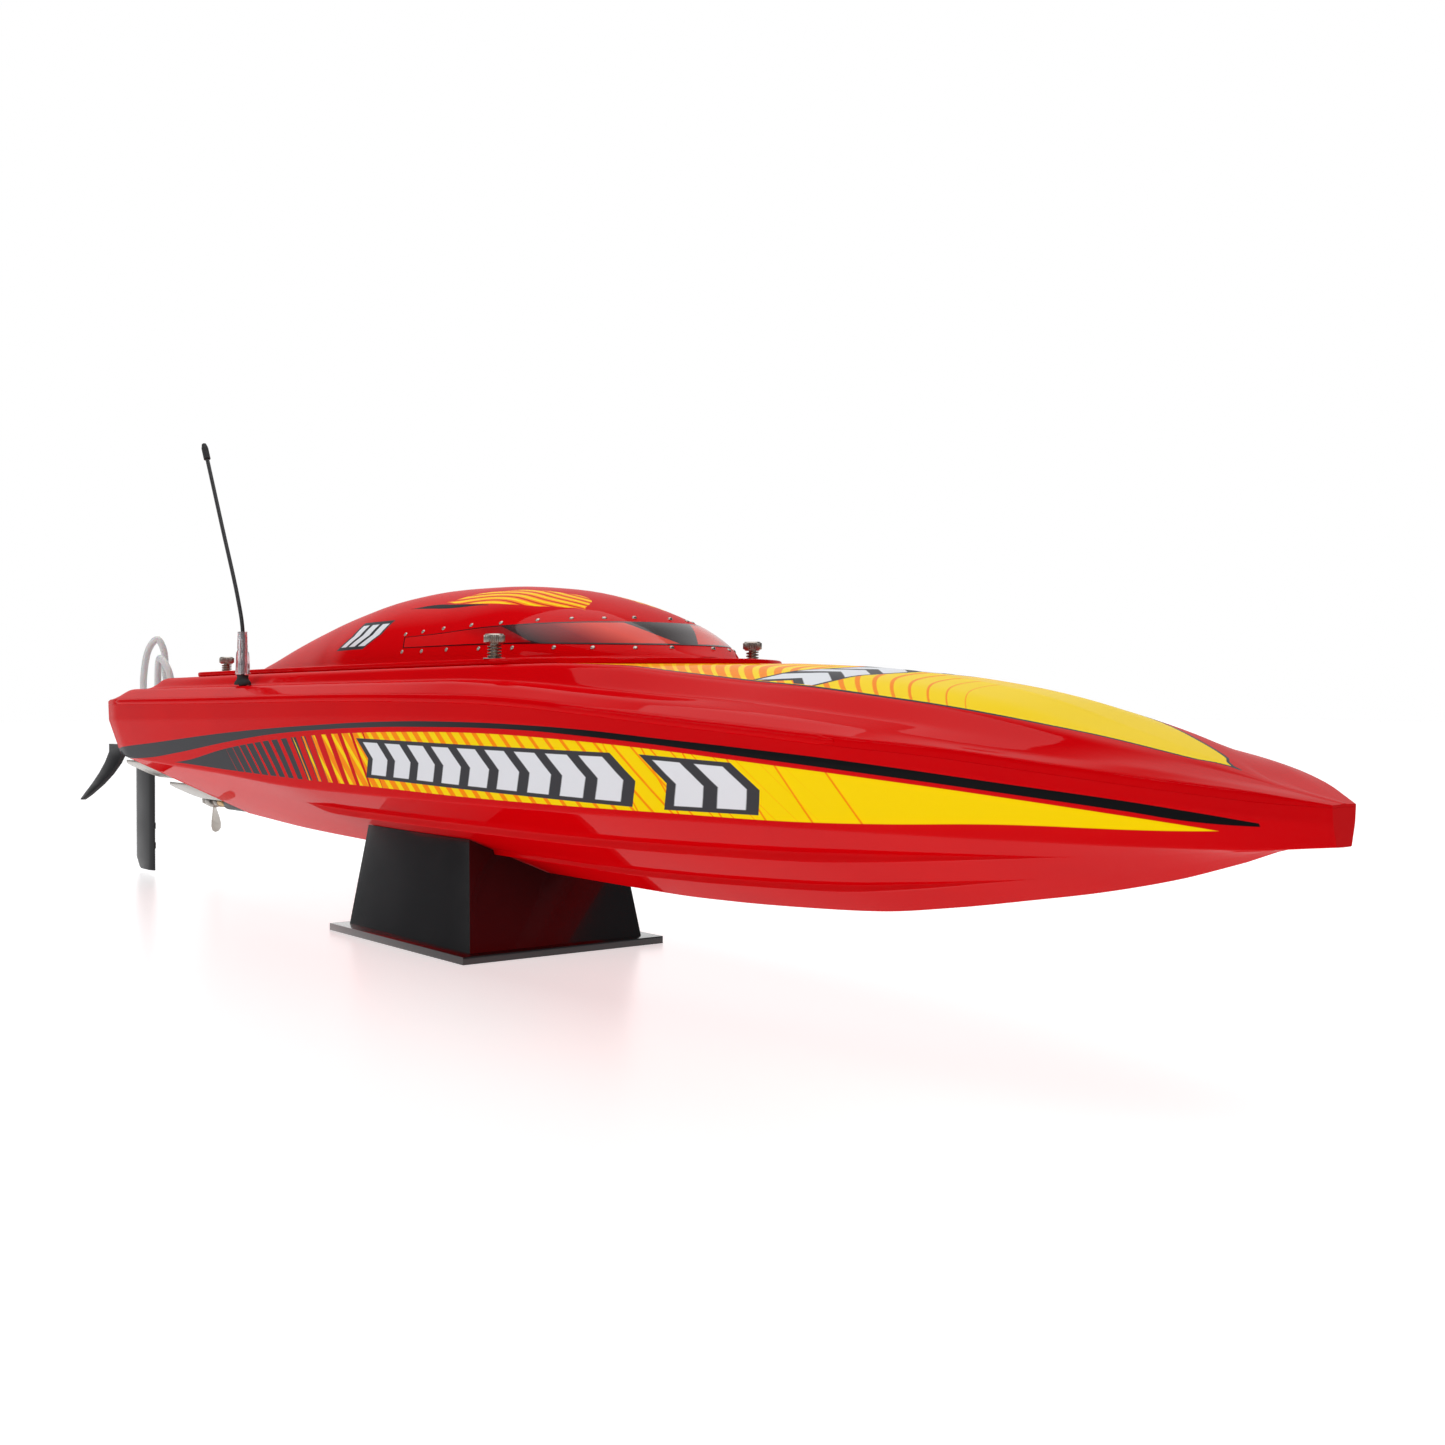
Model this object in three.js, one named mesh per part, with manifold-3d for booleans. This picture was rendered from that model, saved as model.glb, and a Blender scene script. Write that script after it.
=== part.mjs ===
// Deep-vee electric racing boat on its display stand.
// Millimetres, +X to the bow, +Y to port, +Z up, with the stand's underside on Z = 0.
// Stations along the hull are measured along X from a point 19 mm ahead of the transom.

import * as THREE from "three";
import { mergeVertices } from "three/addons/utils/BufferGeometryUtils.js";
import Module from "manifold-3d";

const wasm = await Module();
wasm.setup();

// ---------------------------------------------------------------- driving sizes

const STERN_X = -19;
const BOW_X = 914;
const GAP = 0.3;
const HULL_WALL = 2.2;
const DECK_WALL = 2.2;
const TRANSOM_WALL = 4;
const NOSE_BULKHEAD_X = 884;

const DECK_TOP_Z = 157;
const FLANGE_THICKNESS = 3;
const FLANGE_Z = DECK_TOP_Z + GAP;
const CANOPY_BASE_Z = FLANGE_Z + FLANGE_THICKNESS;
const CANOPY_WALL = 2.8;
const WINDOW_RECESS = 1.6;
const WINDOW_THICKNESS = 1.2;

const RAIL_START_X = 16;
const RAIL_END_X = 765;
const RAIL_HEIGHT = 4;
const RAIL_DEPTH = 1.4;

const STAND = {
  aftX: 277, foreX: 446.5, halfWidth: 64.8, flange: 4.2, inset: 9,
  topHalfWidth: 49, topInset: 22, height: 66, wall: 2.6,
};

const SHAFT_Z = 59;
const SHAFT_RADIUS = 2.2;
const TUBE_RADIUS = 3.2;
const PROP_X = -99;
const PROP_RADIUS = 26;
const MOTOR_Z = 76;
const MOTOR_AFT_X = 262;
const MOTOR_LENGTH = 66;
const MOTOR_RADIUS = 18;

const RUDDER = { x: -126, y: -44, bottomZ: 3, topZ: 87.5, chordFore: 8, chordAft: 23, thickness: 5 };
const TILLER_ARM = 14;
const TILLER_Z = 113;
const PUSHROD_Y = RUDDER.y + TILLER_ARM;
const PUSHROD_Z = 117.2;
const SERVO_X = 66;

const SCREW_PLACES = {
  fore_starboard: [509, -81],
  fore_port: [509, 81],
  aft_starboard: [58, -47],
  aft_port: [58, 47],
};

const ANTENNA = { x: 238, y: -104, z: 149.7 };

// ---------------------------------------------------------------- lines of the boat

// A smooth curve through [x, value] points that never overshoots them.
function line(points) {
  const n = points.length;
  const slope = points.slice(1).map(([x, v], i) => (v - points[i][1]) / (x - points[i][0]));
  const tangent = points.map((_, i) => {
    if (i === 0) return slope[0];
    if (i === n - 1) return slope[n - 2];
    const [a, b] = [slope[i - 1], slope[i]];
    return a * b <= 0 ? 0 : (2 * a * b) / (a + b);
  });
  return (x) => {
    if (x <= points[0][0]) return points[0][1];
    if (x >= points[n - 1][0]) return points[n - 1][1];
    const i = points.findIndex(([px]) => px > x) - 1;
    const h = points[i + 1][0] - points[i][0];
    const t = (x - points[i][0]) / h;
    const ease = t * t * (3 - 2 * t);
    const lead = h * t * (1 - t) * (1 - t) * tangent[i];
    const trail = h * t * t * (t - 1) * tangent[i + 1];
    return points[i][1] * (1 - ease) + points[i + 1][1] * ease + lead + trail;
  };
}

const sheerY = line([
  [STERN_X, 108], [16, 113], [200, 117.5], [380, 120], [500, 118], [600, 112], [700, 99],
  [760, 87.5], [800, 77], [840, 61.5], [870, 44.5], [890, 29], [BOW_X, 6.8],
]);
const sheerZ = line([
  [STERN_X, 138], [200, 138.6], [420, 139.6], [540, 138.6], [590, 136.6], [640, 133], [690, 129],
  [722, 126.5], [768, 122.5], [800, 120], [840, 115], [874, 110], [902, 105.8], [BOW_X, 104.8],
]);
const knuckleDrop = line([[STERN_X, 11.5], [300, 9.5], [600, 7], [BOW_X, 5]]);
const chineInset = line([
  [STERN_X, 9], [200, 9], [400, 11], [600, 16], [700, 21], [800, 22], [860, 16], [BOW_X, 2.4],
]);
const chineZ = line([[STERN_X, 101], [100, 97.5], [200, 95], [350, 90.8], [890, 90.2], [BOW_X, 92]]);
const keelZ = line([
  [STERN_X, 52.5], [100, 47.6], [180, 46], [300, 44.2], [482, 42.8], [550, 42.4], [600, 43.5],
  [645, 45.5], [698, 49], [742, 55], [783, 62], [816, 68], [851, 76], [875, 83.2], [904, 91.8],
  [BOW_X, 91.9],
]);

const tierY = line([
  [STERN_X, 84], [200, 93], [380, 95.5], [500, 93.5], [600, 83], [690, 68], [750, 57], [800, 44],
  [840, 31], [862, 18], [888, 3], [BOW_X, 1],
]);
const tierZ = line([
  [STERN_X, 141], [22, 149.6], [45, DECK_TOP_Z], [560, DECK_TOP_Z], [612, 155], [648, 151],
  [690, 147], [720, 144.8], [750, 141.5], [790, 135.5], [826, 128.5], [850, 122.6], [888, 111.6],
  [BOW_X, 106],
]);
const crownZ = line([
  [STERN_X, 141.2], [22, 149.8], [45, DECK_TOP_Z], [603, DECK_TOP_Z], [640, 156.6], [660, 155.8],
  [700, 153.6], [750, 148], [790, 141], [830, 129.5], [862, 120], [888, 111.8], [BOW_X, 106.1],
]);
const stepZ = line([
  [STERN_X, 140.9], [22, 149.4], [500, 149.6], [560, 148], [617, 144.5], [667, 141], [701, 139],
  [731, 136.5], [767, 132.5], [800, 128.5], [834, 123], [869, 116.6], [888, 111.4], [BOW_X, 105.9],
]);
const stepInset = line([[STERN_X, 19], [550, 19.6], [800, 20], [850, 18], [888, 22], [BOW_X, 5]]);
const edgeZ = line([
  [STERN_X, 140.8], [22, 149.1], [500, 149.2], [560, 146.8], [617, 142.5], [700, 136.2],
  [765, 129.6], [800, 124.8], [840, 119.6], [862, 117.3], [880, 113.6], [895, 110.2], [BOW_X, 105.8],
]);
const edgeInset = line([[STERN_X, 10], [765, 9], [870, 9.5], [890, 9], [BOW_X, 4]]);

const canopyHalfWidth = line([
  [24, 24], [58, 38], [100, 52], [200, 66], [320, 70], [430, 69], [500, 63], [530, 57], [550, 50], [570, 38],
  [583, 22], [592, 6],
]);
const canopyTopZ = line([
  [24, 163.4], [50, 168.6], [79, 173], [132, 182], [183, 190], [241, 198], [311, 205], [350, 206.5], [400, 205.5],
  [449, 202], [489, 196], [524, 188], [549, 179], [570, 170], [583, 164.5], [592, 161.2],
]);
const flangeHalfWidth = line([
  [14, 46], [60, 64], [108, 84], [200, 86], [380, 88.5], [500, 87], [540, 82], [570, 70], [590, 50],
  [600, 26],
]);

// ---------------------------------------------------------------- making solids

function toSolid(geometry) {
  const bare = geometry.index ? geometry.toNonIndexed() : geometry.clone();
  bare.deleteAttribute("normal");
  bare.deleteAttribute("uv");
  const merged = mergeVertices(bare, 1e-4);
  const solid = new wasm.Manifold(new wasm.Mesh({
    numProp: 3,
    vertProperties: merged.attributes.position.array,
    triVerts: new Uint32Array(merged.index.array),
  }));
  return solid;
}

function toGeometry(solid) {
  const mesh = solid.getMesh();
  const position = new Float32Array(mesh.numVert * 3);
  for (let i = 0; i < mesh.numVert; i++) {
    position.set(mesh.vertProperties.subarray(i * mesh.numProp, i * mesh.numProp + 3), i * 3);
  }
  const geometry = new THREE.BufferGeometry();
  geometry.setAttribute("position", new THREE.BufferAttribute(position, 3));
  geometry.setIndex(new THREE.BufferAttribute(new Uint32Array(mesh.triVerts), 1));
  const faceted = geometry.toNonIndexed();
  faceted.computeVertexNormals();
  return faceted;
}

function join(...geometries) {
  return toGeometry(geometries.map(toSolid).reduce((a, b) => a.add(b)));
}

function cut(body, ...tools) {
  return toGeometry(tools.map(toSolid).reduce((a, b) => a.subtract(b), toSolid(body)));
}

function common(a, b) {
  return toGeometry(toSolid(a).intersect(toSolid(b)));
}

function signedVolume(position, index) {
  const [a, b, c] = [new THREE.Vector3(), new THREE.Vector3(), new THREE.Vector3()];
  let volume = 0;
  for (let i = 0; i < index.length; i += 3) {
    a.fromArray(position, index[i] * 3);
    b.fromArray(position, index[i + 1] * 3);
    c.fromArray(position, index[i + 2] * 3);
    volume += a.dot(b.cross(c));
  }
  return volume;
}

// A closed body through rings of equal point counts; each ring is [x, y, z] points in order.
function loft(rings) {
  const count = rings[0].length;
  const position = rings.flat(2);
  const index = [];
  for (let r = 0; r < rings.length - 1; r++) {
    for (let i = 0; i < count; i++) {
      const a = r * count + i;
      const b = r * count + ((i + 1) % count);
      index.push(a, b, a + count, b, b + count, a + count);
    }
  }
  const last = (rings.length - 1) * count;
  for (const [a, b, c] of ladder(count)) {
    index.push(a, c, b, last + a, last + b, last + c);
  }
  if (signedVolume(position, index) < 0) index.reverse();
  const geometry = new THREE.BufferGeometry();
  geometry.setAttribute("position", new THREE.Float32BufferAttribute(position, 3));
  geometry.setIndex(index);
  return geometry.toNonIndexed();
}

// Triangles that close a ring of `count` points by rungs between its two mirrored sides.
function ladder(count) {
  const faces = [];
  for (let a = 0; a <= (count - 2) / 2; a++) {
    const [b, c] = [a + 1, count - 1 - a];
    if (b < c) faces.push([a, b, c]);
    if (a > 0) faces.push([a, c, count - a]);
  }
  return faces;
}

// A symmetric ring at station x from a port half-profile of [y, z] points.
function mirrorRing(x, half) {
  const port = half.map(([y, z]) => [x, y, z]);
  const starboard = half.filter(([y]) => y > 1e-6).reverse().map(([y, z]) => [x, -y, z]);
  return [...port, ...starboard];
}

function stations(from, to, step) {
  const count = Math.max(1, Math.round((to - from) / step));
  return Array.from({ length: count + 1 }, (_, i) => from + ((to - from) * i) / count);
}

function box(x0, x1, y0, y1, z0, z1) {
  const geometry = new THREE.BoxGeometry(x1 - x0, y1 - y0, z1 - z0);
  return geometry.translate((x0 + x1) / 2, (y0 + y1) / 2, (z0 + z1) / 2);
}

// A cylinder, cone or tube profile turned about an axis through `at`; axis is "x", "y" or "z".
function turned(profile, axis, at, sides = 24) {
  const points = profile.map(([r, h]) => new THREE.Vector2(r, h));
  const geometry = new THREE.LatheGeometry([...points, points[0].clone()], sides);
  if (axis === "x") geometry.rotateZ(-Math.PI / 2);
  if (axis === "z") geometry.rotateX(Math.PI / 2);
  return geometry.translate(...at);
}

function rod(radius, from, to, axis, at, sides = 16) {
  return turned([[0, from], [radius, from], [radius, to], [0, to]], axis, at, sides);
}

function sleeve(inner, outer, from, to, axis, at, sides = 20) {
  return turned([[inner, from], [outer, from], [outer, to], [inner, to]], axis, at, sides);
}

// A flat outline of [u, v] points made `depth` thick; plane is "xy", "xz" or "yz".
function plate(outline, plane, start, depth, holes = []) {
  const shape = new THREE.Shape(outline.map(([u, v]) => new THREE.Vector2(u, v)));
  shape.holes = holes;
  const geometry = new THREE.ExtrudeGeometry(shape, { depth, bevelEnabled: false, curveSegments: 10 });
  if (plane === "xy") return geometry.translate(0, 0, start);
  if (plane === "xz") return geometry.rotateX(Math.PI / 2).translate(0, start + depth, 0);
  return geometry.rotateY(Math.PI / 2).rotateX(Math.PI / 2).translate(start, 0, 0);
}

// A round cord or tube along hand-chosen points.
function cord(points, radius, steps, sides = 8) {
  const section = new THREE.Shape();
  section.absarc(0, 0, radius, 0, Math.PI * 2);
  const path = new THREE.CatmullRomCurve3(points.map((p) => new THREE.Vector3(...p)), false, "centripetal");
  return new THREE.ExtrudeGeometry(section, {
    steps, curveSegments: sides / 2, extrudePath: path, bevelEnabled: false,
  });
}

// ---------------------------------------------------------------- the boat's group

const boat = new THREE.Group();

const FINISH = {
  redPaint: { color: 0xd4000c, roughness: 0.16, metalness: 0 },
  blackGloss: { color: 0x0b0b0d, roughness: 0.22, metalness: 0 },
  blackSatin: { color: 0x161618, roughness: 0.5, metalness: 0 },
  rubber: { color: 0x0d0d0e, roughness: 0.8, metalness: 0 },
  steel: { color: 0x9c958c, roughness: 0.32, metalness: 1 },
  alloy: { color: 0xb4b7ba, roughness: 0.35, metalness: 1 },
  blackAlloy: { color: 0x17181a, roughness: 0.4, metalness: 0.6 },
  brass: { color: 0xb0864a, roughness: 0.3, metalness: 1 },
  clear: { color: 0xe6e8e8, roughness: 0.15, metalness: 0 },
  window: { color: 0x2a1216, roughness: 0.08, metalness: 0 },
  bluePlastic: { color: 0x24519c, roughness: 0.45, metalness: 0 },
  foam: { color: 0xe9e6dc, roughness: 0.95, metalness: 0 },
};

function add(name, finish, geometry) {
  const mesh = new THREE.Mesh(geometry, new THREE.MeshStandardMaterial(FINISH[finish]));
  mesh.name = name;
  boat.add(mesh);
}

// ---------------------------------------------------------------- hull and deck

const STRAKE_HEIGHT = 4;
const strakes = [
  { at: 0.32, height: line([[370, 0.05], [420, 3], [690, 3], [800, 0.05]]) },
  { at: 0.7, height: line([[270, 0.05], [310, STRAKE_HEIGHT], [700, STRAKE_HEIGHT], [830, 0.05]]) },
];

// Port half of the hull's section at station x, from the keel up to the sheer.
function hullHalf(x) {
  const chine = [sheerY(x) - chineInset(x), chineZ(x)];
  const keel = keelZ(x);
  const rise = Math.max(chine[1] - keel, 0.2);
  const onBottom = (f) => [f * chine[0], keel + f * rise];
  const points = [[0, keel]];
  for (const { at, height } of strakes) {
    const drop = Math.min(height(x), rise * 0.14);
    const inner = onBottom(at - drop / rise);
    points.push(inner, [at * chine[0] - 0.2, inner[1] - 0.02], onBottom(at));
  }
  points.push(chine);
  points.push([sheerY(x) - 0.4, sheerZ(x) - knuckleDrop(x)]);
  points.push([sheerY(x), sheerZ(x)]);
  return points;
}

// Inside of the hull, which runs on above the sheer so that it cuts the hull open.
function hullCoreHalf(x) {
  const chine = [sheerY(x) - chineInset(x) - HULL_WALL, chineZ(x) + HULL_WALL];
  const keel = keelZ(x) + HULL_WALL * 1.15;
  return [
    [0, Math.min(keel, chine[1] - 0.3)], chine,
    [sheerY(x) - HULL_WALL, sheerZ(x) - knuckleDrop(x)], [sheerY(x) - HULL_WALL, sheerZ(x) + 6],
  ];
}

// Port half of the deck's section, from the centre line out and down to the sheer.
function deckHalf(x, wall = 0) {
  const tier = [Math.max(tierY(x) - wall, 0.6), tierZ(x) - wall];
  const crown = crownZ(x) - wall;
  const step = [Math.max(sheerY(x) - stepInset(x) - wall, tier[0] + 0.3), stepZ(x) - wall];
  const edge = [Math.max(sheerY(x) - edgeInset(x) - wall, step[0] + 0.3), edgeZ(x) - wall];
  const side = Math.max(sheerY(x) - wall, edge[0] + 0.3);
  const foot = wall ? sheerZ(x) - 6 : sheerZ(x) + GAP;
  return [
    [0, crown], [tier[0] * 0.6, crown - (crown - tier[1]) * 0.3], tier, step, edge,
    [side, Math.min(sheerZ(x) + 3.6, edge[1] - 0.1)], [side, foot],
  ];
}

// Height of the inside of the hull's bottom, with room for a thin bed of adhesive.
function hullFloor(x, y) {
  const [keel, chine] = hullCoreHalf(x);
  return keel[1] + (Math.abs(y) / chine[0]) * (chine[1] - keel[1]) + 0.6;
}

function seatedRing(x, halfWidth, top) {
  return mirrorRing(x, [
    [0, hullFloor(x, 0)], [halfWidth, hullFloor(x, halfWidth)], [halfWidth, top], [0, top],
  ]);
}

// A block with a flat top whose underside lies on the hull's inside.
function seated(x0, x1, y0, y1, top) {
  if (y0 < 0 && y1 > 0) return loft([x0, x1].map((x) => seatedRing(x, y1, top)));
  return loft([x0, x1].map((x) => [
    [x, y0, hullFloor(x, y0)], [x, y1, hullFloor(x, y1)], [x, y1, top], [x, y0, top],
  ]));
}

const HULL_STATIONS = [
  STERN_X, 16, ...stations(80, 560, 60), ...stations(590, 840, 25), 855, 870, 882, 893, 904, BOW_X,
];
const HATCH_OPENING = { aft: 80, fore: 540, halfWidth: 60 };

const inletPlaces = [[-14, 120], [-2, 120]];
const transomHoles = [
  rod(2.8, STERN_X - 2, STERN_X + 8, "x", [0, PUSHROD_Y, PUSHROD_Z]),
  rod(TUBE_RADIUS + GAP, STERN_X - 2, STERN_X + TRANSOM_WALL + 2, "x", [0, 0, SHAFT_Z]),
  ...inletPlaces.map(([y, z]) => rod(2.8, STERN_X - 2, STERN_X + 8, "x", [0, y, z])),
];

function makeHull() {
  const outside = loft(HULL_STATIONS.map((x) => mirrorRing(x, hullHalf(x))));
  const coreStations = [STERN_X + TRANSOM_WALL, ...HULL_STATIONS.slice(1).filter((x) => x < NOSE_BULKHEAD_X)];
  const core = loft(coreStations.map((x) => mirrorRing(x, hullCoreHalf(x))));
  return cut(outside, core, ...transomHoles, rod(2.6, -20, 20, "y", [150, sheerY(150), 112]));
}

function openingOutline() {
  const { aft, fore, halfWidth } = HATCH_OPENING;
  return [
    [aft, -42], [aft + 24, -54], [aft + 120, -halfWidth], [fore - 90, -halfWidth], [fore - 20, -38],
    [fore, -20], [fore, 20], [fore - 20, 38], [fore - 90, halfWidth], [aft + 120, halfWidth],
    [aft + 24, 54], [aft, 42],
  ];
}

function makeDeck() {
  const deckStations = [STERN_X, 22, 45, ...HULL_STATIONS.slice(2)];
  const outside = loft(deckStations.map((x) => mirrorRing(x, deckHalf(x))));
  const coreStations = [STERN_X + TRANSOM_WALL, 22, 45, ...HULL_STATIONS.slice(2).filter((x) => x < 880)];
  const core = loft(coreStations.map((x) => mirrorRing(x, deckHalf(x, DECK_WALL))));
  const opening = plate(openingOutline(), "xy", 120, 60);
  const glandHole = rod(2.6, -12, 12, "z", [ANTENNA.x, ANTENNA.y, ANTENNA.z]);
  return cut(outside, core, opening, glandHole);
}

function makeRail(side) {
  const ring = (x) => {
    const y = sheerY(x) + GAP;
    const z = sheerZ(x) + 1.8;
    const taper = x > RAIL_END_X - 1 ? 0.6 : 1;
    return [
      [x, side * y, z - RAIL_HEIGHT / 2], [x, side * (y + RAIL_DEPTH * taper), z - RAIL_HEIGHT / 4],
      [x, side * (y + RAIL_DEPTH * taper), z + RAIL_HEIGHT / 4], [x, side * y, z + RAIL_HEIGHT / 2],
    ];
  };
  const places = [RAIL_START_X, ...HULL_STATIONS.filter((x) => x > RAIL_START_X && x < RAIL_END_X), RAIL_END_X];
  return loft(places.map(ring));
}

add("hull_shell", "redPaint", makeHull());
add("deck_shell", "redPaint", makeDeck());
add("rub_rail_port", "redPaint", makeRail(1));
add("rub_rail_starboard", "redPaint", makeRail(-1));

// ---------------------------------------------------------------- canopy hatch

const CANOPY_STATIONS = [24, 40, 58, ...stations(80, 480, 40), 500, 515, 530, 542, 553, 563, 572, 583, 592];
const CANOPY_ANGLES = Array.from({ length: 9 }, (_, i) => (i / 8) * (Math.PI / 2));

// Port half of the canopy's section, a flattened arch `inset` inside its outer face.
function canopyHalf(x, inset, foot) {
  const width = Math.max(canopyHalfWidth(x) - inset, 1);
  const height = Math.max(canopyTopZ(x) - inset - CANOPY_BASE_Z, 0.2);
  const arch = CANOPY_ANGLES.map((t) => [
    width * Math.sin(t) ** 0.92,
    CANOPY_BASE_Z + height * Math.cos(t) ** 1.15,
  ]);
  return [...arch, [width, foot]];
}

function canopyBody(inset, foot, from, to) {
  const places = [from, ...CANOPY_STATIONS.filter((x) => x > from && x < to), to];
  return loft(places.map((x) => mirrorRing(x, canopyHalf(x, inset, foot))));
}

// Side outline of the window band in X and Z, grown by `grow`.
function windowBlock(grow) {
  const outline = [
    [352 - grow, 170.6 - grow], [470, 169.6 - grow], [600, 168.2 - grow], [600, 179.6 + grow],
    [520, 181 + grow], [430, 181.4 + grow], [352 - grow, 178.4 + grow],
  ];
  return plate(outline, "xz", -90, 180);
}

function makeHatch() {
  const flangeStations = [14, 60, 84, 108, ...stations(200, 500, 100), 520, 540, 556, 570, 580, 590, 600];
  const flange = loft(flangeStations.map((x) => [
    [x, -flangeHalfWidth(x), FLANGE_Z], [x, flangeHalfWidth(x), FLANGE_Z],
    [x, flangeHalfWidth(x), CANOPY_BASE_Z], [x, -flangeHalfWidth(x), CANOPY_BASE_Z],
  ]));
  const shell = join(flange, canopyBody(0, FLANGE_Z + 1, 24, 592));
  const hollow = canopyBody(CANOPY_WALL, FLANGE_Z - 6, 84, 566);
  const recess = cut(windowBlock(0.8), canopyBody(WINDOW_RECESS, CANOPY_BASE_Z - 4, 60, 588));
  const screwHoles = Object.values(SCREW_PLACES).map(([x, y]) => rod(2.6, -10, 10, "z", [x, y, FLANGE_Z]));
  return cut(shell, hollow, recess, ...screwHoles);
}

function makeWindow() {
  const outside = canopyBody(0, CANOPY_BASE_Z - 4, 60, 592);
  return common(windowBlock(0), cut(outside, canopyBody(WINDOW_THICKNESS, CANOPY_BASE_Z - 8, 58, 589)));
}

add("canopy_hatch", "redPaint", makeHatch());
add("window_band", "window", makeWindow());

const SCREW = { shank: 2.1, springTop: 7.2, headRadius: 5, headHeight: 5, spring: 3, wire: 0.45, turns: 3.5 };

function makeScrew([x, y]) {
  const headZ = SCREW.springTop;
  const profile = [
    [0, -FLANGE_THICKNESS + 0.3], [SCREW.shank, -FLANGE_THICKNESS + 0.3], [SCREW.shank, headZ],
    [SCREW.headRadius - 0.5, headZ], [SCREW.headRadius, headZ + 0.6],
    [SCREW.headRadius, headZ + SCREW.headHeight - 0.6], [SCREW.headRadius - 0.6, headZ + SCREW.headHeight],
    [1.9, headZ + SCREW.headHeight], [1.9, headZ + 2.6], [0, headZ + 2.6],
  ];
  return turned(profile, "z", [x, y, CANOPY_BASE_Z], 20);
}

function makeSpring([x, y]) {
  const height = SCREW.springTop - 2 * SCREW.wire - 2 * GAP;
  const perTurn = 8;
  const points = Array.from({ length: SCREW.turns * perTurn + 1 }, (_, i) => {
    const angle = (i / perTurn) * Math.PI * 2;
    const rise = (i / (SCREW.turns * perTurn)) * height;
    return [
      x + SCREW.spring * Math.cos(angle), y + SCREW.spring * Math.sin(angle),
      CANOPY_BASE_Z + SCREW.wire + GAP + rise,
    ];
  });
  return cord(points, SCREW.wire, SCREW.turns * perTurn);
}

for (const [place, at] of Object.entries(SCREW_PLACES)) {
  add(`thumb_screw_${place}`, "steel", makeScrew(at));
  add(`screw_spring_${place}`, "steel", makeSpring(at));
}

// ---------------------------------------------------------------- antenna

function makeAntenna() {
  const { x, y, z } = ANTENNA;
  add("antenna_gland", "rubber", turned(
    [[1.6, -7], [2.3, -7], [2.3, GAP], [5, GAP], [4.5, 2.6], [3.4, 4.4], [3.6, 6.4], [1.6, 6.4]], "z", [x, y, z],
  ));
  add("antenna_sleeve", "clear", turned(
    [[1.9, 6.8], [4.4, 6.8], [3.9, 20], [3.2, 21], [2.9, 33], [1.9, 33]], "z", [x, y, z],
  ));
  const whip = cord([
    [x, y, z - 7], [x, y, z + 14], [x, y, z + 35], [x - 5, y - 1, z + 54], [x - 26, y - 3, z + 100],
    [x - 46, y - 5, z + 144],
  ], 1.2, 22, 8);
  add("antenna_whip", "blackSatin", whip);
  const cap = turned([[0, 0.3], [2.1, 0.3], [2.1, 10], [1.5, 11.4], [0, 11.4]], "z", [0, 0, 0], 16);
  cap.applyQuaternion(new THREE.Quaternion().setFromUnitVectors(
    new THREE.Vector3(0, 0, 1), new THREE.Vector3(-20, -2, 44).normalize(),
  ));
  add("antenna_cap", "blackSatin", cap.translate(x - 46, y - 5, z + 144));
}
makeAntenna();

// ---------------------------------------------------------------- rudder and steering

function makeRudder() {
  const { x, y, bottomZ, topZ, chordFore, chordAft, thickness } = RUDDER;
  const foil = [
    [x + chordFore, 0], [x + chordFore - 5, thickness / 2], [x - chordAft + 6, thickness / 2],
    [x - chordAft, 0.8], [x - chordAft, -0.8], [x - chordAft + 6, -thickness / 2],
    [x + chordFore - 5, -thickness / 2],
  ].map(([u, v]) => [u, v + y]);
  const blade = plate(foil, "xy", bottomZ, topZ - bottomZ);
  const heel = plate([[x - chordAft - 1, bottomZ - 1], [x - chordAft + 9, bottomZ - 1], [x - chordAft - 1, bottomZ + 8]],
    "xz", y - 5, 10);
  const pickups = [18, 34].map((up) => box(x + chordFore - 6, x + chordFore + 1, y - 0.9, y + 0.9, bottomZ + up, bottomZ + up + 5));
  const post = rod(3, topZ - 2, TILLER_Z + 4.6, "z", [x, y, 0], 18);
  add("rudder_blade", "blackSatin", cut(join(blade, post), heel, ...pickups));

  const arm = plate([
    [x - 6, y - 5], [x + 6, y - 5], [x + 4.5, PUSHROD_Y], [x + 2, PUSHROD_Y + 4.5],
    [x - 2, PUSHROD_Y + 4.5], [x - 4.5, PUSHROD_Y],
  ], "xy", TILLER_Z, 3);
  add("rudder_tiller", "alloy", cut(arm, rod(3 + GAP, -20, 20, "z", [x, y, TILLER_Z], 18)));
  add("tiller_nut", "steel", cut(
    rod(5, TILLER_Z + 3 + GAP, TILLER_Z + 7, "z", [x, y, 0], 6), rod(3 + GAP, 90, 140, "z", [x, y, 0], 18),
  ));

  const barrelZ = topZ + GAP;
  const barrel = rod(8, barrelZ, TILLER_Z - GAP, "z", [x, y, 0], 24);
  const arms = box(x + 2, STERN_X - 3, y - 5, y + 5, 92, 108);
  const lightening = box(x + 20, STERN_X - 16, y - 6, y + 6, 96, 104);
  const base = box(STERN_X - 4.3, STERN_X - GAP, y - 11, y + 6, 88, 122);
  const bore = rod(3 + GAP, barrelZ - 5, TILLER_Z + 5, "z", [x, y, 0], 18);
  add("rudder_bracket", "blackAlloy", cut(join(barrel, arms, base), lightening, bore));
}

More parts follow.
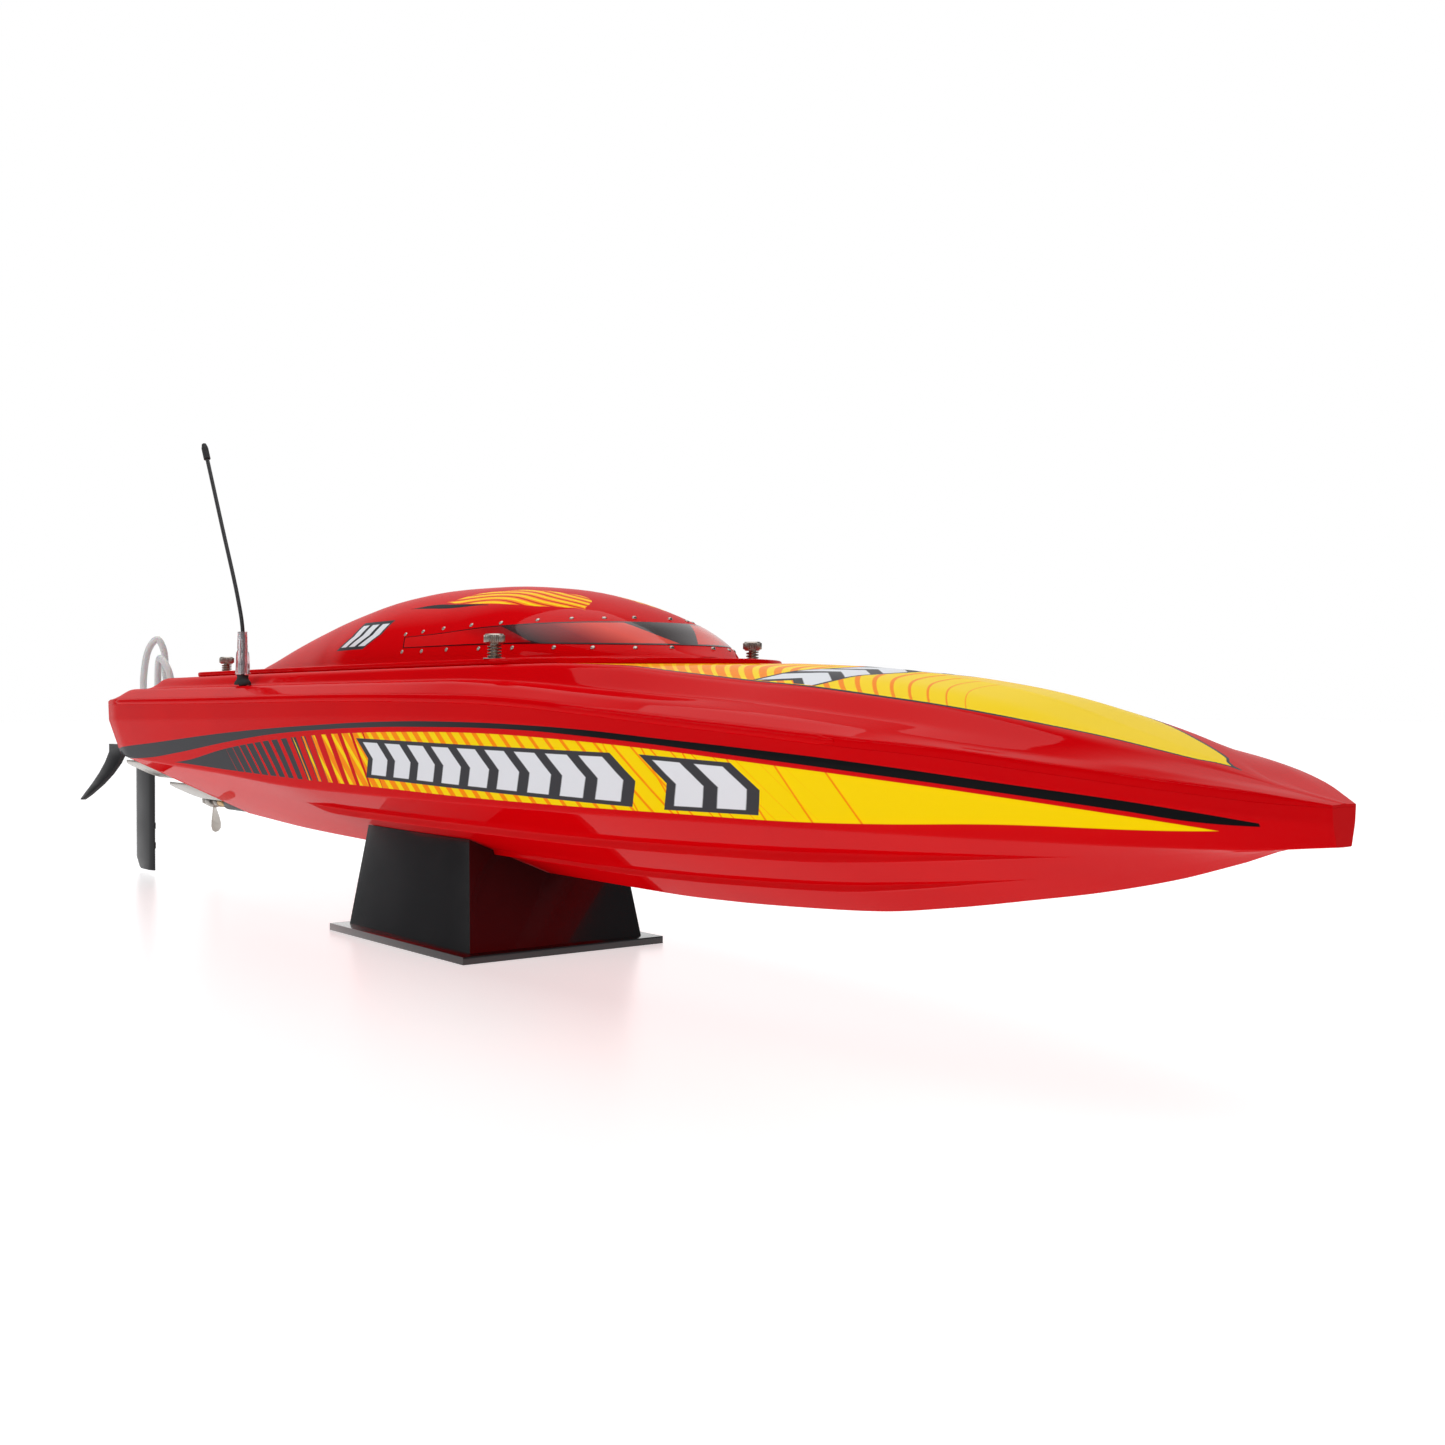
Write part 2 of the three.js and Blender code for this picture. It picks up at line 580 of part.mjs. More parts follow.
function makeSteering() {
  const servoY = RUDDER.y;
  const eye = (x) => sleeve(1.4, 3.6, PUSHROD_Z - 1, PUSHROD_Z + 1, "z", [x, PUSHROD_Y, 0], 16);
  add("rudder_pushrod", "steel", join(
    eye(RUDDER.x), eye(SERVO_X),
    box(RUDDER.x + 2.6, RUDDER.x + 9, PUSHROD_Y - 1.4, PUSHROD_Y + 1.4, PUSHROD_Z - 1, PUSHROD_Z + 1),
    box(SERVO_X - 9, SERVO_X - 2.6, PUSHROD_Y - 1.4, PUSHROD_Y + 1.4, PUSHROD_Z - 1, PUSHROD_Z + 1),
    rod(1.2, RUDDER.x + 6, SERVO_X - 6, "x", [0, PUSHROD_Y, PUSHROD_Z], 12),
  ));
  add("pushrod_boot", "rubber", turned([
    [2.2, -26], [3.6, -26], [4.6, -22], [3.7, -18.5], [5.2, -15], [4.2, -11.5], [5.8, -8], [4.6, -4.5],
    [7, -3], [7, -GAP], [2.2, -GAP],
  ], "x", [STERN_X, PUSHROD_Y, PUSHROD_Z], 18));

  const body = box(SERVO_X - 10, SERVO_X + 30, servoY - 10, servoY + 10, 84, 108);
  const ears = box(SERVO_X - 17, SERVO_X + 37, servoY - 9, servoY + 9, 97, 99.5);
  add("steering_servo", "blackSatin", join(body, ears, rod(5, 107, TILLER_Z - GAP - 0.4, "z", [SERVO_X, servoY, 0])));
  add("servo_horn", "blackSatin", plate([
    [SERVO_X - 5.5, servoY - 5], [SERVO_X + 5.5, servoY - 5], [SERVO_X + 4.2, PUSHROD_Y],
    [SERVO_X + 2, PUSHROD_Y + 4], [SERVO_X - 2, PUSHROD_Y + 4], [SERVO_X - 4.2, PUSHROD_Y],
  ], "xy", TILLER_Z, 3));
  const block = seated(SERVO_X - 17, SERVO_X + 37, servoY - 9, servoY + 9, 96.6);
  add("servo_mount", "alloy", cut(block, box(SERVO_X - 10.4, SERVO_X + 30.4, servoY - 12, servoY + 12, 81, 100)));
}
makeRudder();
makeSteering();

// ---------------------------------------------------------------- cooling water

const HOSE_RADIUS = 2.7;

function makeCooling() {
  const { x, y } = RUDDER;
  inletPlaces.forEach(([py, pz], i) => {
    const profile = [
      [1.2, -13], [1.9, -13], [2.3, -11], [1.9, -9], [1.9, -5], [4.2, -5], [4.2, -GAP], [2.4, -GAP],
      [2.4, 9], [1.2, 9],
    ];
    add(`water_inlet_${i + 1}`, "alloy", turned(profile, "x", [STERN_X, py, pz], 16));
  });
  add("water_outlet", "alloy", turned(
    [[1.3, -9], [2.3, -9], [2.3, GAP], [4.4, GAP], [4.4, 2.4], [1.3, 2.4]], "y",
    [150, sheerY(150) - 3.2, 112], 16,
  ));
  const [low, tall] = inletPlaces.map(([py]) => py);
  add("cooling_hose_tall", "clear", cord([
    [x + 14, y - 2.4, 109.2], [x + 9, y - 5.4, 132], [x + 7, y - 6, 160], [x + 9, y - 2, 184],
    [x + 14, y + 3, 191], [x + 17, y + 7, 182], [x + 19, y + 8, 160], [x + 26, y + 11, 140],
    [x + 46, y + 22, 128], [x + 68, y + 36, 121], [x + 80, tall, 120], [STERN_X - 13.4, tall, 120],
  ], HOSE_RADIUS, 48));
  add("cooling_hose_low", "clear", cord([
    [x + 25, y, 108.8], [x + 25, y + 0.5, 130], [x + 28, y - 1.5, 156], [x + 38, y - 3, 175],
    [x + 48, y, 166], [x + 54, y + 4, 146], [x + 64, y + 14, 132], [x + 76, y + 26, 122],
    [x + 83, low, 120], [STERN_X - 13.4, low, 120],
  ], HOSE_RADIUS, 40));
}
makeCooling();

// ---------------------------------------------------------------- transom fittings

const TABS = {
  outer: { y0: 56, y1: 82, length: 46 },
  inner: { y0: 18, y1: 44, length: 60 },
};
const TAB_THICKNESS = 1.6;
const bottomAtTransom = (y) => keelZ(STERN_X) + (y / (sheerY(STERN_X) - chineInset(STERN_X))) * (chineZ(STERN_X) - keelZ(STERN_X));

// A plate that lies along the bottom's slope between two distances off the centre line.
function slopedPlate(side, y0, y1, x0, x1, lift, thickness, taper) {
  const [za, zb] = [bottomAtTransom(y0) + lift, bottomAtTransom(y1) + lift];
  const ring = (x, inset) => {
    const k = inset / (y1 - y0);
    const [ya, yb] = [y0 + inset, y1 - inset];
    const [a, b] = [za + (zb - za) * k, zb - (zb - za) * k];
    return [
      [x, side * ya, a], [x, side * yb, b], [x, side * yb, b + thickness], [x, side * ya, a + thickness],
    ];
  };
  return loft([ring(x0, taper), ring(x0 + taper * 0.5, taper * 0.35), ring(x0 + taper * 1.6, 0), ring(x1, 0)]);
}

function makeTrimTabs() {
  for (const [sideName, side] of [["port", 1], ["starboard", -1]]) {
    for (const [place, tab] of Object.entries(TABS)) {
      const x1 = STERN_X - 6.6;
      const leaf = slopedPlate(side, tab.y0, tab.y1, x1 - tab.length, x1, 1.2, TAB_THICKNESS, 7);
      add(`trim_tab_${place}_${sideName}`, "alloy", leaf);
      const foot = slopedPlate(side, tab.y0, tab.y1, STERN_X - 6.2, STERN_X - GAP, 1, 2, 0.4);
      const back = slopedPlate(side, tab.y0, tab.y1, STERN_X - 2.2, STERN_X - GAP, 2, 9, 0.4);
      add(`trim_tab_hinge_${place}_${sideName}`, "alloy", join(foot, back));
    }
  }
}

function makeTurnFins() {
  const thickness = 3;
  // Aft edge, fore edge and distance off the centre line at heights going down the fin.
  const levels = [
    [102, -58, -23.6, 93], [94, -60, -28, 95.5], [86, -61, -33, 99.5], [78, -62, -40, 104.5],
    [70, -62, -49, 110.5], [66, -60, -55, 114],
  ];
  for (const [sideName, side] of [["port", 1], ["starboard", -1]]) {
    const fin = loft(levels.map(([z, aft, fore, y]) => [
      [aft, side * y, z], [fore, side * y, z], [fore, side * (y + thickness), z], [aft, side * (y + thickness), z],
    ]));
    const flange = box(STERN_X - 4.6, STERN_X - GAP, side > 0 ? 84 : -96, side > 0 ? 96 : -84, 103, 124);
    const gusset = box(STERN_X - 39, STERN_X - 3, side > 0 ? 93 : -96, side > 0 ? 96 : -93, 101, 108);
    add(`turn_fin_${sideName}`, "blackSatin", join(fin, flange, gusset));
  }
}

function makeDriveLine() {
  const barrel = rod(5.5, -62, STERN_X - 2, "x", [0, 0, SHAFT_Z], 24);
  const web = plate([[-58, SHAFT_Z + 2], [STERN_X - 1, SHAFT_Z + 2], [STERN_X - 1, 92], [-32, 92], [-44, 72]], "xz", -2.5, 5);
  const base = box(STERN_X - 4, STERN_X - GAP, -14, 14, 62, 98);
  const shaftBore = rod(SHAFT_RADIUS + GAP, -90, STERN_X + 2, "x", [0, 0, SHAFT_Z], 18);
  add("propeller_strut", "blackAlloy", cut(join(barrel, web, base), shaftBore));
  add("strut_bushing", "brass", sleeve(SHAFT_RADIUS + GAP, 4.2, -80, -62.3, "x", [0, 0, SHAFT_Z]));

  const dog = rod(4.4, -89.6, -81, "x", [0, 0, SHAFT_Z], 20);
  add("propeller_shaft", "steel", join(rod(SHAFT_RADIUS, -120, STERN_X + 12, "x", [0, 0, SHAFT_Z], 18), dog));

  const hub = turned([
    [SHAFT_RADIUS + GAP, -9.5], [4.2, -9.5], [5.4, -4], [5.6, 4], [4.8, 9], [SHAFT_RADIUS + GAP, 9],
  ], "x", [0, 0, 0], 20);
  const blade = () => {
    const rings = [3.6, 9, 15, 20, 24, PROP_RADIUS].map((r, i, all) => {
      const t = i / (all.length - 1);
      const chord = [13, 17, 19, 17, 12, 4][i];
      const pitch = 1.12 - 0.62 * t;
      const thick = 1.5 - 0.75 * t;
      const rake = 1.5 * t;
      return [[-0.5, 0], [-0.15, 0.5], [0.3, 0.4], [0.5, 0], [0.3, -0.4], [-0.15, -0.5]].map(([u, v]) => {
        const along = u * chord;
        const across = v * thick;
        return [
          along * Math.sin(pitch) + across * Math.cos(pitch) - rake,
          along * Math.cos(pitch) - across * Math.sin(pitch), r,
        ];
      });
    });
    return loft(rings);
  };
  const blades = [0, Math.PI].map((turn) => blade().rotateX(turn + 0.12));
  const wheel = join(hub, ...blades);
  const bored = cut(wheel, rod(SHAFT_RADIUS + GAP, -20, 20, "x", [0, 0, 0], 20));
  add("propeller", "steel", bored.translate(PROP_X, 0, SHAFT_Z));
  const nut = rod(4.6, -114.5, PROP_X - 9.8, "x", [0, 0, SHAFT_Z], 6);
  add("propeller_nut", "steel", cut(nut, rod(SHAFT_RADIUS + GAP, -130, -80, "x", [0, 0, SHAFT_Z], 18)));

  const tubeEnd = MOTOR_AFT_X - 34;
  const middle = [[STERN_X + 24, 0, SHAFT_Z], [60, 0, 62], [130, 0, 68.5], [190, 0, 75]];
  const route = (aft, fore) => [[aft, 0, SHAFT_Z], ...middle, [fore, 0, MOTOR_Z]];
  const tube = cord(route(STERN_X + 0.2, tubeEnd), TUBE_RADIUS, 20, 12);
  const bore = cord(route(STERN_X - 6, tubeEnd + 6), TUBE_RADIUS - 0.6, 20, 12);
  add("stuffing_tube", "brass", cut(tube, bore));
  add("flex_shaft", "steel", cord([[STERN_X + 13, 0, SHAFT_Z], ...middle, [tubeEnd + 8, 0, MOTOR_Z]], 1.6, 20));

  add("shaft_coupler", "alloy", join(
    rod(5.5, tubeEnd + 8.4, MOTOR_AFT_X - 8, "x", [0, 0, MOTOR_Z], 20),
    rod(2.5, MOTOR_AFT_X - 9, MOTOR_AFT_X + 10, "x", [0, 0, MOTOR_Z], 16),
  ));
  const can = rod(MOTOR_RADIUS, MOTOR_AFT_X, MOTOR_AFT_X + MOTOR_LENGTH, "x", [0, 0, MOTOR_Z], 32);
  add("motor", "blackAlloy", cut(can, rod(2.5 + GAP, MOTOR_AFT_X - 2, MOTOR_AFT_X + 14, "x", [0, 0, MOTOR_Z], 16)));
  const jacket = sleeve(MOTOR_RADIUS + GAP, MOTOR_RADIUS + 2.6, MOTOR_AFT_X + 14, MOTOR_AFT_X + 54, "x", [0, 0, MOTOR_Z], 32);
  const spigots = [20, 48].map((dx) => rod(2, MOTOR_RADIUS + 1, MOTOR_RADIUS + 9, "z", [MOTOR_AFT_X + dx, 0, MOTOR_Z], 12));
  add("water_jacket", "alloy", join(jacket, ...spigots));
  const foot = seated(MOTOR_AFT_X - 3.3, MOTOR_AFT_X + 13, -24, 24, 62);
  const faceplate = seated(MOTOR_AFT_X - 3.3, MOTOR_AFT_X - GAP, -24, 24, MOTOR_Z + 20);
  const clearance = rod(MOTOR_RADIUS + 0.6, MOTOR_AFT_X - GAP, MOTOR_AFT_X + 30, "x", [0, 0, MOTOR_Z], 32);
  add("motor_mount", "alloy", cut(join(faceplate, foot), clearance, rod(7, -10, 10, "x", [MOTOR_AFT_X, 0, MOTOR_Z])));
}
makeTrimTabs();
makeTurnFins();
makeDriveLine();

// ---------------------------------------------------------------- power and radio

const TRAY = { aft: 350, fore: 500, halfWidth: 54, top: 75.6, plate: 3 };

function makePower() {
  add("speed_controller", "blackSatin", seated(196, 246, 26, 60, 102));
  add("receiver_box", "blackSatin", join(
    seated(120, 176, 24, 60, 104.5), box(118, 178, 22, 62, 104, 108),
  ));
  for (const [name, side] of [["port", 1], ["starboard", -1]]) {
    const y0 = side > 0 ? 3 : -49;
    add(`battery_${name}`, "bluePlastic", box(356, 494, y0, y0 + 46, TRAY.top + GAP, TRAY.top + 26));
  }
  const { aft, fore, halfWidth, top, plate: thickness } = TRAY;
  add("battery_tray", "blackSatin", join(
    box(aft, fore, -halfWidth, halfWidth, top - thickness, top),
    ...[aft, fore - 8].map((x) => seated(x, x + 8, -halfWidth, halfWidth, top - 1)),
  ));
  const keelPlace = (x) => Math.max(sheerY(x) - chineInset(x) - 24, 12);
  add("flotation_block", "foam", loft([590, 640, 690, 740].map((x) => seatedRing(x, keelPlace(x), sheerZ(x) - 8))));
}
makePower();

// ---------------------------------------------------------------- display stand

function makeStand() {
  const s = STAND;
  const [a, f] = [s.aftX, s.foreX];
  const ring = (z, inset, half) => [
    [a + inset, -half, z], [f - inset, -half, z], [f - inset, half, z], [a + inset, half, z],
  ];
  const footHalf = s.halfWidth - s.inset;
  const outside = loft([ring(s.flange - 0.5, s.inset, footHalf), ring(s.height, s.topInset, s.topHalfWidth)]);
  const inside = loft([
    ring(-1, s.inset + s.wall - 1, footHalf - s.wall + 1),
    ring(s.height + 4, s.topInset + s.wall, s.topHalfWidth - s.wall),
  ]);
  const flange = box(a, f, -s.halfWidth, s.halfWidth, 0, s.flange);
  // The end walls are notched to the hull's bottom, which drops clear through the stand.
  const notch = loft([260, 320, 380, 440, 500].map((x) => {
    const bottom = hullHalf(x).slice(0, -2).map(([y, z]) => [y > 0 ? y + 0.35 : 0, z - 0.4]);
    const [chineY] = bottom[bottom.length - 1];
    return mirrorRing(x, [...bottom, [chineY, s.height + 60], [0, s.height + 60]]);
  }));
  return cut(join(flange, outside), inside, notch);
}
add("display_stand", "blackGloss", makeStand());

// ---------------------------------------------------------------- the part

const RUDDER_AFT_X = RUDDER.x - RUDDER.chordAft;
boat.position.x = -(BOW_X + RUDDER_AFT_X) / 2;

const part = new THREE.Group();
part.add(boat);

export default part;
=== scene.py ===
"""Looks of a deep-vee electric racing boat on its display stand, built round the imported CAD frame.

Shapes are written in the boat's own millimetres: X forward from a point 19 mm ahead of the transom,
Y to port, Z up from the floor. They are turned into the frame's metres when a mesh is made.
"""

import logging
import math
from dataclasses import dataclass
from enum import Enum
from typing import Callable, Iterable, Optional, Sequence

import bmesh
import bpy
from mathutils import Matrix, Vector

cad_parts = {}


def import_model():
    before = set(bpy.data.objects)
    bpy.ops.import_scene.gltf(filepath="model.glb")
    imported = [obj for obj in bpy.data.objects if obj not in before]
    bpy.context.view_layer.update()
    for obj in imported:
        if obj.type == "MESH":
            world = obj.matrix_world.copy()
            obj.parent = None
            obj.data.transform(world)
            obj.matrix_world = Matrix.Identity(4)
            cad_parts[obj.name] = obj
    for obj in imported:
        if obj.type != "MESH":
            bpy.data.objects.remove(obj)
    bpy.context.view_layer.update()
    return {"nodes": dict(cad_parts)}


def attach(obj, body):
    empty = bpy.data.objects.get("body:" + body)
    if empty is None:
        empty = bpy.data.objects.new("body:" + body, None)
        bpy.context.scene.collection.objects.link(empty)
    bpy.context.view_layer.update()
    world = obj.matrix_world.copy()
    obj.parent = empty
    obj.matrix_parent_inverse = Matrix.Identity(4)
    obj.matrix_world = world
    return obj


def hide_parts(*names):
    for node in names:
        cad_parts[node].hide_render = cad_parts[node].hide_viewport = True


log = logging.getLogger("boat")

FRAME_SHIFT_X = -382.5
MM = 0.001
GAP = 0.3
STERN_X = -19.0
BOW_X = 914.0
DECK_TOP_Z = 157.0
FLANGE_Z = DECK_TOP_Z + GAP
FLANGE_THICKNESS = 3.0
CANOPY_BASE_Z = FLANGE_Z + FLANGE_THICKNESS
RUDDER_X = -126.0
RUDDER_Y = -44.0
PUSHROD_Y = RUDDER_Y + 14.0
PUSHROD_Z = 117.2
ARCH_SIDE = 0.92
ARCH_CROWN = 1.15
SHARP_EDGE = 0.45
TINY = 1e-6

Point = tuple[float, float, float]
Colour = tuple[float, float, float]


# ------------------------------------------------------------------ lines of the boat


@dataclass(frozen=True)
class Line:
    """A smooth curve through points that never overshoots them."""

    points: tuple[tuple[float, float], ...]

    def __call__(self, x: float) -> float:
        """Value of the curve.

        Args:
            x: place along the boat in millimetres.
        Returns:
            The curve's value there, held level past both ends.
        """
        p = self.points
        if x <= p[0][0]:
            return p[0][1]
        if x >= p[-1][0]:
            return p[-1][1]
        i = max(k for k in range(len(p) - 1) if p[k][0] <= x)
        h = p[i + 1][0] - p[i][0]
        t = (x - p[i][0]) / h
        ease = t * t * (3 - 2 * t)
        lead = h * t * (1 - t) ** 2 * self._tangent(i)
        trail = h * t * t * (t - 1) * self._tangent(i + 1)
        return p[i][1] * (1 - ease) + p[i + 1][1] * ease + lead + trail

    def _slope(self, i: int) -> float:
        (xa, ya), (xb, yb) = self.points[i], self.points[i + 1]
        return (yb - ya) / (xb - xa)

    def _tangent(self, i: int) -> float:
        last = len(self.points) - 1
        if i == 0:
            return self._slope(0)
        if i == last:
            return self._slope(last - 1)
        a, b = self._slope(i - 1), self._slope(i)
        return 0.0 if a * b <= 0 else 2 * a * b / (a + b)


def line(*points: tuple[float, float]) -> Line:
    """Shorthand for a Line through the given (x, value) points."""
    return Line(tuple(points))


SHEER_Y = line((-19, 108), (16, 113), (200, 117.5), (380, 120), (500, 118), (600, 112), (700, 99),
               (760, 87.5), (800, 77), (840, 61.5), (870, 44.5), (890, 29), (914, 6.8))
SHEER_Z = line((-19, 138), (200, 138.6), (420, 139.6), (540, 138.6), (590, 136.6), (640, 133),
               (690, 129), (722, 126.5), (768, 122.5), (800, 120), (840, 115), (874, 110),
               (902, 105.8), (914, 104.8))
KNUCKLE_DROP = line((-19, 11.5), (300, 9.5), (600, 7), (914, 5))
CHINE_INSET = line((-19, 9), (200, 9), (400, 11), (600, 16), (700, 21), (800, 22), (860, 16), (914, 2.4))
CHINE_Z = line((-19, 101), (100, 97.5), (200, 95), (350, 90.8), (890, 90.2), (914, 92))
KEEL_Z = line((-19, 52.5), (100, 47.6), (180, 46), (300, 44.2), (482, 42.8), (550, 42.4), (600, 43.5),
              (645, 45.5), (698, 49), (742, 55), (783, 62), (816, 68), (851, 76), (875, 83.2),
              (904, 91.8), (914, 91.9))
TIER_Y = line((-19, 84), (200, 93), (380, 95.5), (500, 93.5), (600, 83), (690, 68), (750, 57),
              (800, 44), (840, 31), (862, 18), (888, 3), (914, 1))
TIER_Z = line((-19, 141), (22, 149.6), (45, 157), (560, 157), (612, 155), (648, 151), (690, 147),
              (720, 144.8), (750, 141.5), (790, 135.5), (826, 128.5), (850, 122.6), (888, 111.6),
              (914, 106))
CROWN_Z = line((-19, 141.2), (22, 149.8), (45, 157), (603, 157), (640, 156.6), (660, 155.8),
               (700, 153.6), (750, 148), (790, 141), (830, 129.5), (862, 120), (888, 111.8),
               (914, 106.1))
STEP_Z = line((-19, 140.9), (22, 149.4), (500, 149.6), (560, 148), (617, 144.5), (667, 141),
              (701, 139), (731, 136.5), (767, 132.5), (800, 128.5), (834, 123), (869, 116.6),
              (888, 111.4), (914, 105.9))
STEP_INSET = line((-19, 19), (550, 19.6), (800, 20), (850, 18), (888, 22), (914, 5))
EDGE_Z = line((-19, 140.8), (22, 149.1), (500, 149.2), (560, 146.8), (617, 142.5), (700, 136.2),
              (765, 129.6), (800, 124.8), (840, 119.6), (862, 117.3), (880, 113.6), (895, 110.2),
              (914, 105.8))
EDGE_INSET = line((-19, 10), (765, 9), (870, 9.5), (890, 9), (914, 4))
CANOPY_Y = line((24, 12), (58, 20), (100, 30), (150, 41), (200, 51), (260, 62), (320, 69), (430, 69),
                (495, 62.5), (520, 57), (540, 47), (556, 34), (568, 20), (576, 6))
CANOPY_Z = line((24, 163.4), (50, 168.6), (79, 173), (132, 182), (183, 190), (241, 198), (311, 205),
                (350, 206.5), (400, 205.5), (449, 201.6), (484, 195.6), (512, 188), (536, 179),
                (555, 170), (567, 164.5), (576, 161.2))
FLANGE_Y = line((14, 46), (60, 64), (108, 84), (200, 86), (380, 88.5), (500, 87), (516, 85.4),
                (542, 72), (562, 58), (578, 40), (588, 20))
CANOPY_TAIL_X, CANOPY_NOSE_X = 24.0, 576.0
FLANGE_TAIL_X, FLANGE_NOSE_X = 14.0, 588.0
STRAKES = (
    (0.32, line((370, 0.05), (420, 3), (690, 3), (800, 0.05))),
    (0.70, line((270, 0.05), (310, 4), (700, 4), (830, 0.05))),
)


# ------------------------------------------------------------------ shader maths


def operation(kind: str, swapped: bool = False) -> Callable:
    """A method of Value that feeds one Math node; swapped puts the value itself last."""

    def method(self: "Value", *others: "Value | float") -> "Value":
        inputs = (*others, self) if swapped else (self, *others)
        return self.graph.math(kind, *inputs)

    return method


class Value:
    """A number travelling through a shader, combined with ordinary operators."""

    __add__ = __radd__ = operation("ADD")
    __mul__ = __rmul__ = operation("MULTIPLY")
    __sub__ = operation("SUBTRACT")
    __rsub__ = operation("SUBTRACT", swapped=True)
    __truediv__ = operation("DIVIDE")
    __abs__ = operation("ABSOLUTE")
    fract = operation("FRACT")
    sin = operation("SINE")
    at_least = operation("MAXIMUM")
    at_most = operation("MINIMUM")

    def __init__(self, graph: "Graph", socket: bpy.types.NodeSocket) -> None:
        self.graph = graph
        self.socket = socket

    def above(self, edge: "Value | float", soft: float = 0.25) -> "Value":
        """1 where the value is over the edge, 0 below it, with a soft change between."""
        return ((self - edge) / soft + 0.5).at_least(0.0).at_most(1.0)

    def below(self, edge: "Value | float", soft: float = 0.25) -> "Value":
        """1 where the value is under the edge."""
        return 1.0 - self.above(edge, soft)

    def between(self, low: "Value | float", high: "Value | float", soft: float = 0.25) -> "Value":
        """1 between two edges."""
        return self.above(low, soft) * self.below(high, soft)

    def ramp(self, start: float, end: float) -> "Value":
        """A straight rise from 0 at start to 1 at end."""
        return ((self - start) / (end - start)).at_least(0.0).at_most(1.0)


class Graph:
    """The node tree of a material or a world, with its one surface."""

    def __init__(self, name: str, world: bool = False) -> None:
        self.owner = (bpy.data.worlds if world else bpy.data.materials).new(name)
        self.owner.use_nodes = True
        self.tree = self.owner.node_tree
        self.surface = self.tree.nodes["Background" if world else "Principled BSDF"]

    def node(self, kind: str, inputs: Optional[dict] = None, **settings: object) -> bpy.types.Node:
        """Makes any node.

        Args:
            kind: the node's type name.
            inputs: socket name or number to a Value, a socket or a constant.
            settings: attributes of the node.
        Returns:
            The new node.
        """
        made = self.tree.nodes.new(kind)
        for key, value in settings.items():
            setattr(made, key, value)
        for key, value in (inputs or {}).items():
            self.feed(made.inputs[key], value)
        return made

    def feed(self, socket: bpy.types.NodeSocket, value: object) -> None:
        """Links a Value or a socket to an input, or sets a constant on it."""
        if isinstance(value, Value):
            self.tree.links.new(value.socket, socket)
        elif isinstance(value, bpy.types.NodeSocket):
            self.tree.links.new(value, socket)
        else:
            socket.default_value = value

    def math(self, operation: str, *inputs: "Value | float") -> Value:
        """A Math node."""
        made = self.node("ShaderNodeMath", dict(enumerate(inputs)), operation=operation)
        return Value(self, made.outputs[0])

    def place(self) -> tuple[Value, Value, Value]:
        """The boat's own X, Y and Z in millimetres at the shaded point."""
        coordinate = self.node("ShaderNodeTexCoord")
        split = self.node("ShaderNodeSeparateXYZ", {0: coordinate.outputs["Object"]})
        x, y, z = (Value(self, split.outputs[k]) for k in range(3))
        return x * 1000.0 - FRAME_SHIFT_X, y * 1000.0, z * 1000.0

    def attribute(self, name: str) -> Value:
        """A number kept on the mesh's points."""
        return Value(self, self.node("ShaderNodeAttribute", attribute_name=name).outputs["Fac"])

    def surface_map(self, name: str) -> tuple[Value, Value]:
        """Both directions of a UV map."""
        made = self.node("ShaderNodeUVMap", uv_map=name)
        split = self.node("ShaderNodeSeparateXYZ", {0: made.outputs[0]})
        return Value(self, split.outputs[0]), Value(self, split.outputs[1])

    def noise(self, scale: float, detail: float = 3.0, stretch: Colour = (1, 1, 1)) -> Value:
        """Fractal noise about 0.5; scale is in cells per metre."""
        coordinate = self.node("ShaderNodeTexCoord")
        scaled = self.node("ShaderNodeVectorMath", {0: coordinate.outputs["Object"], 1: stretch},
                           operation="MULTIPLY")
        made = self.node("ShaderNodeTexNoise",
                         {"Vector": scaled.outputs[0], "Scale": scale, "Detail": detail})
        return Value(self, made.outputs["Fac"])

    def curve(self, along: Value, points: Sequence[tuple[float, float]]) -> Value:
        """A drawn edge: the height, in millimetres, of a line over the boat's X."""
        span, start, top = 1000.0, -50.0, 220.0
        made = self.node("ShaderNodeFloatCurve", {"Value": (along - start) / span})
        track = made.mapping.curves[0].points
        scaled = [((x - start) / span, z / top) for x, z in points]
        if scaled[0][0] > 0:
            scaled.insert(0, (0.0, scaled[0][1]))
        if scaled[-1][0] < 1:
            scaled.append((1.0, scaled[-1][1]))
        track[0].location, track[1].location = scaled[0], scaled[-1]
        for spot in scaled[1:-1]:
            track.new(*spot)
        made.mapping.update()
        return Value(self, made.outputs[0]) * top

    def mix(self, amount: "Value | float", base: object, over: object) -> bpy.types.NodeSocket:
        """A blend of two colours; each is an RGB triple or a colour socket."""
        made = self.node("ShaderNodeMix", data_type="RGBA")
        self.feed(made.inputs["Factor"], amount)
        for key, colour in ((6, base), (7, over)):
            self.feed(made.inputs[key], (*colour, 1.0) if isinstance(colour, tuple) else colour)
        return made.outputs[2]

    def bump(self, height: Value, strength: float, distance: float) -> None:
        """Adds relief of that depth in metres to the surface."""
        made = self.node("ShaderNodeBump", {"Height": height, "Strength": strength, "Distance": distance})
        self.feed(self.surface.inputs["Normal"], made.outputs[0])

    def paint(self, **inputs: object) -> "bpy.types.Material | bpy.types.World":
        """Sets the surface's inputs, written with underscores, and returns the material or world."""
        for key, value in inputs.items():
            name = key.replace("_", " ").title().replace("Ior", "IOR")
            if isinstance(value, tuple) and len(value) == 3:
                value = (*value, 1.0)
            self.feed(self.surface.inputs[name], value)
        return self.owner


# ------------------------------------------------------------------ finishes

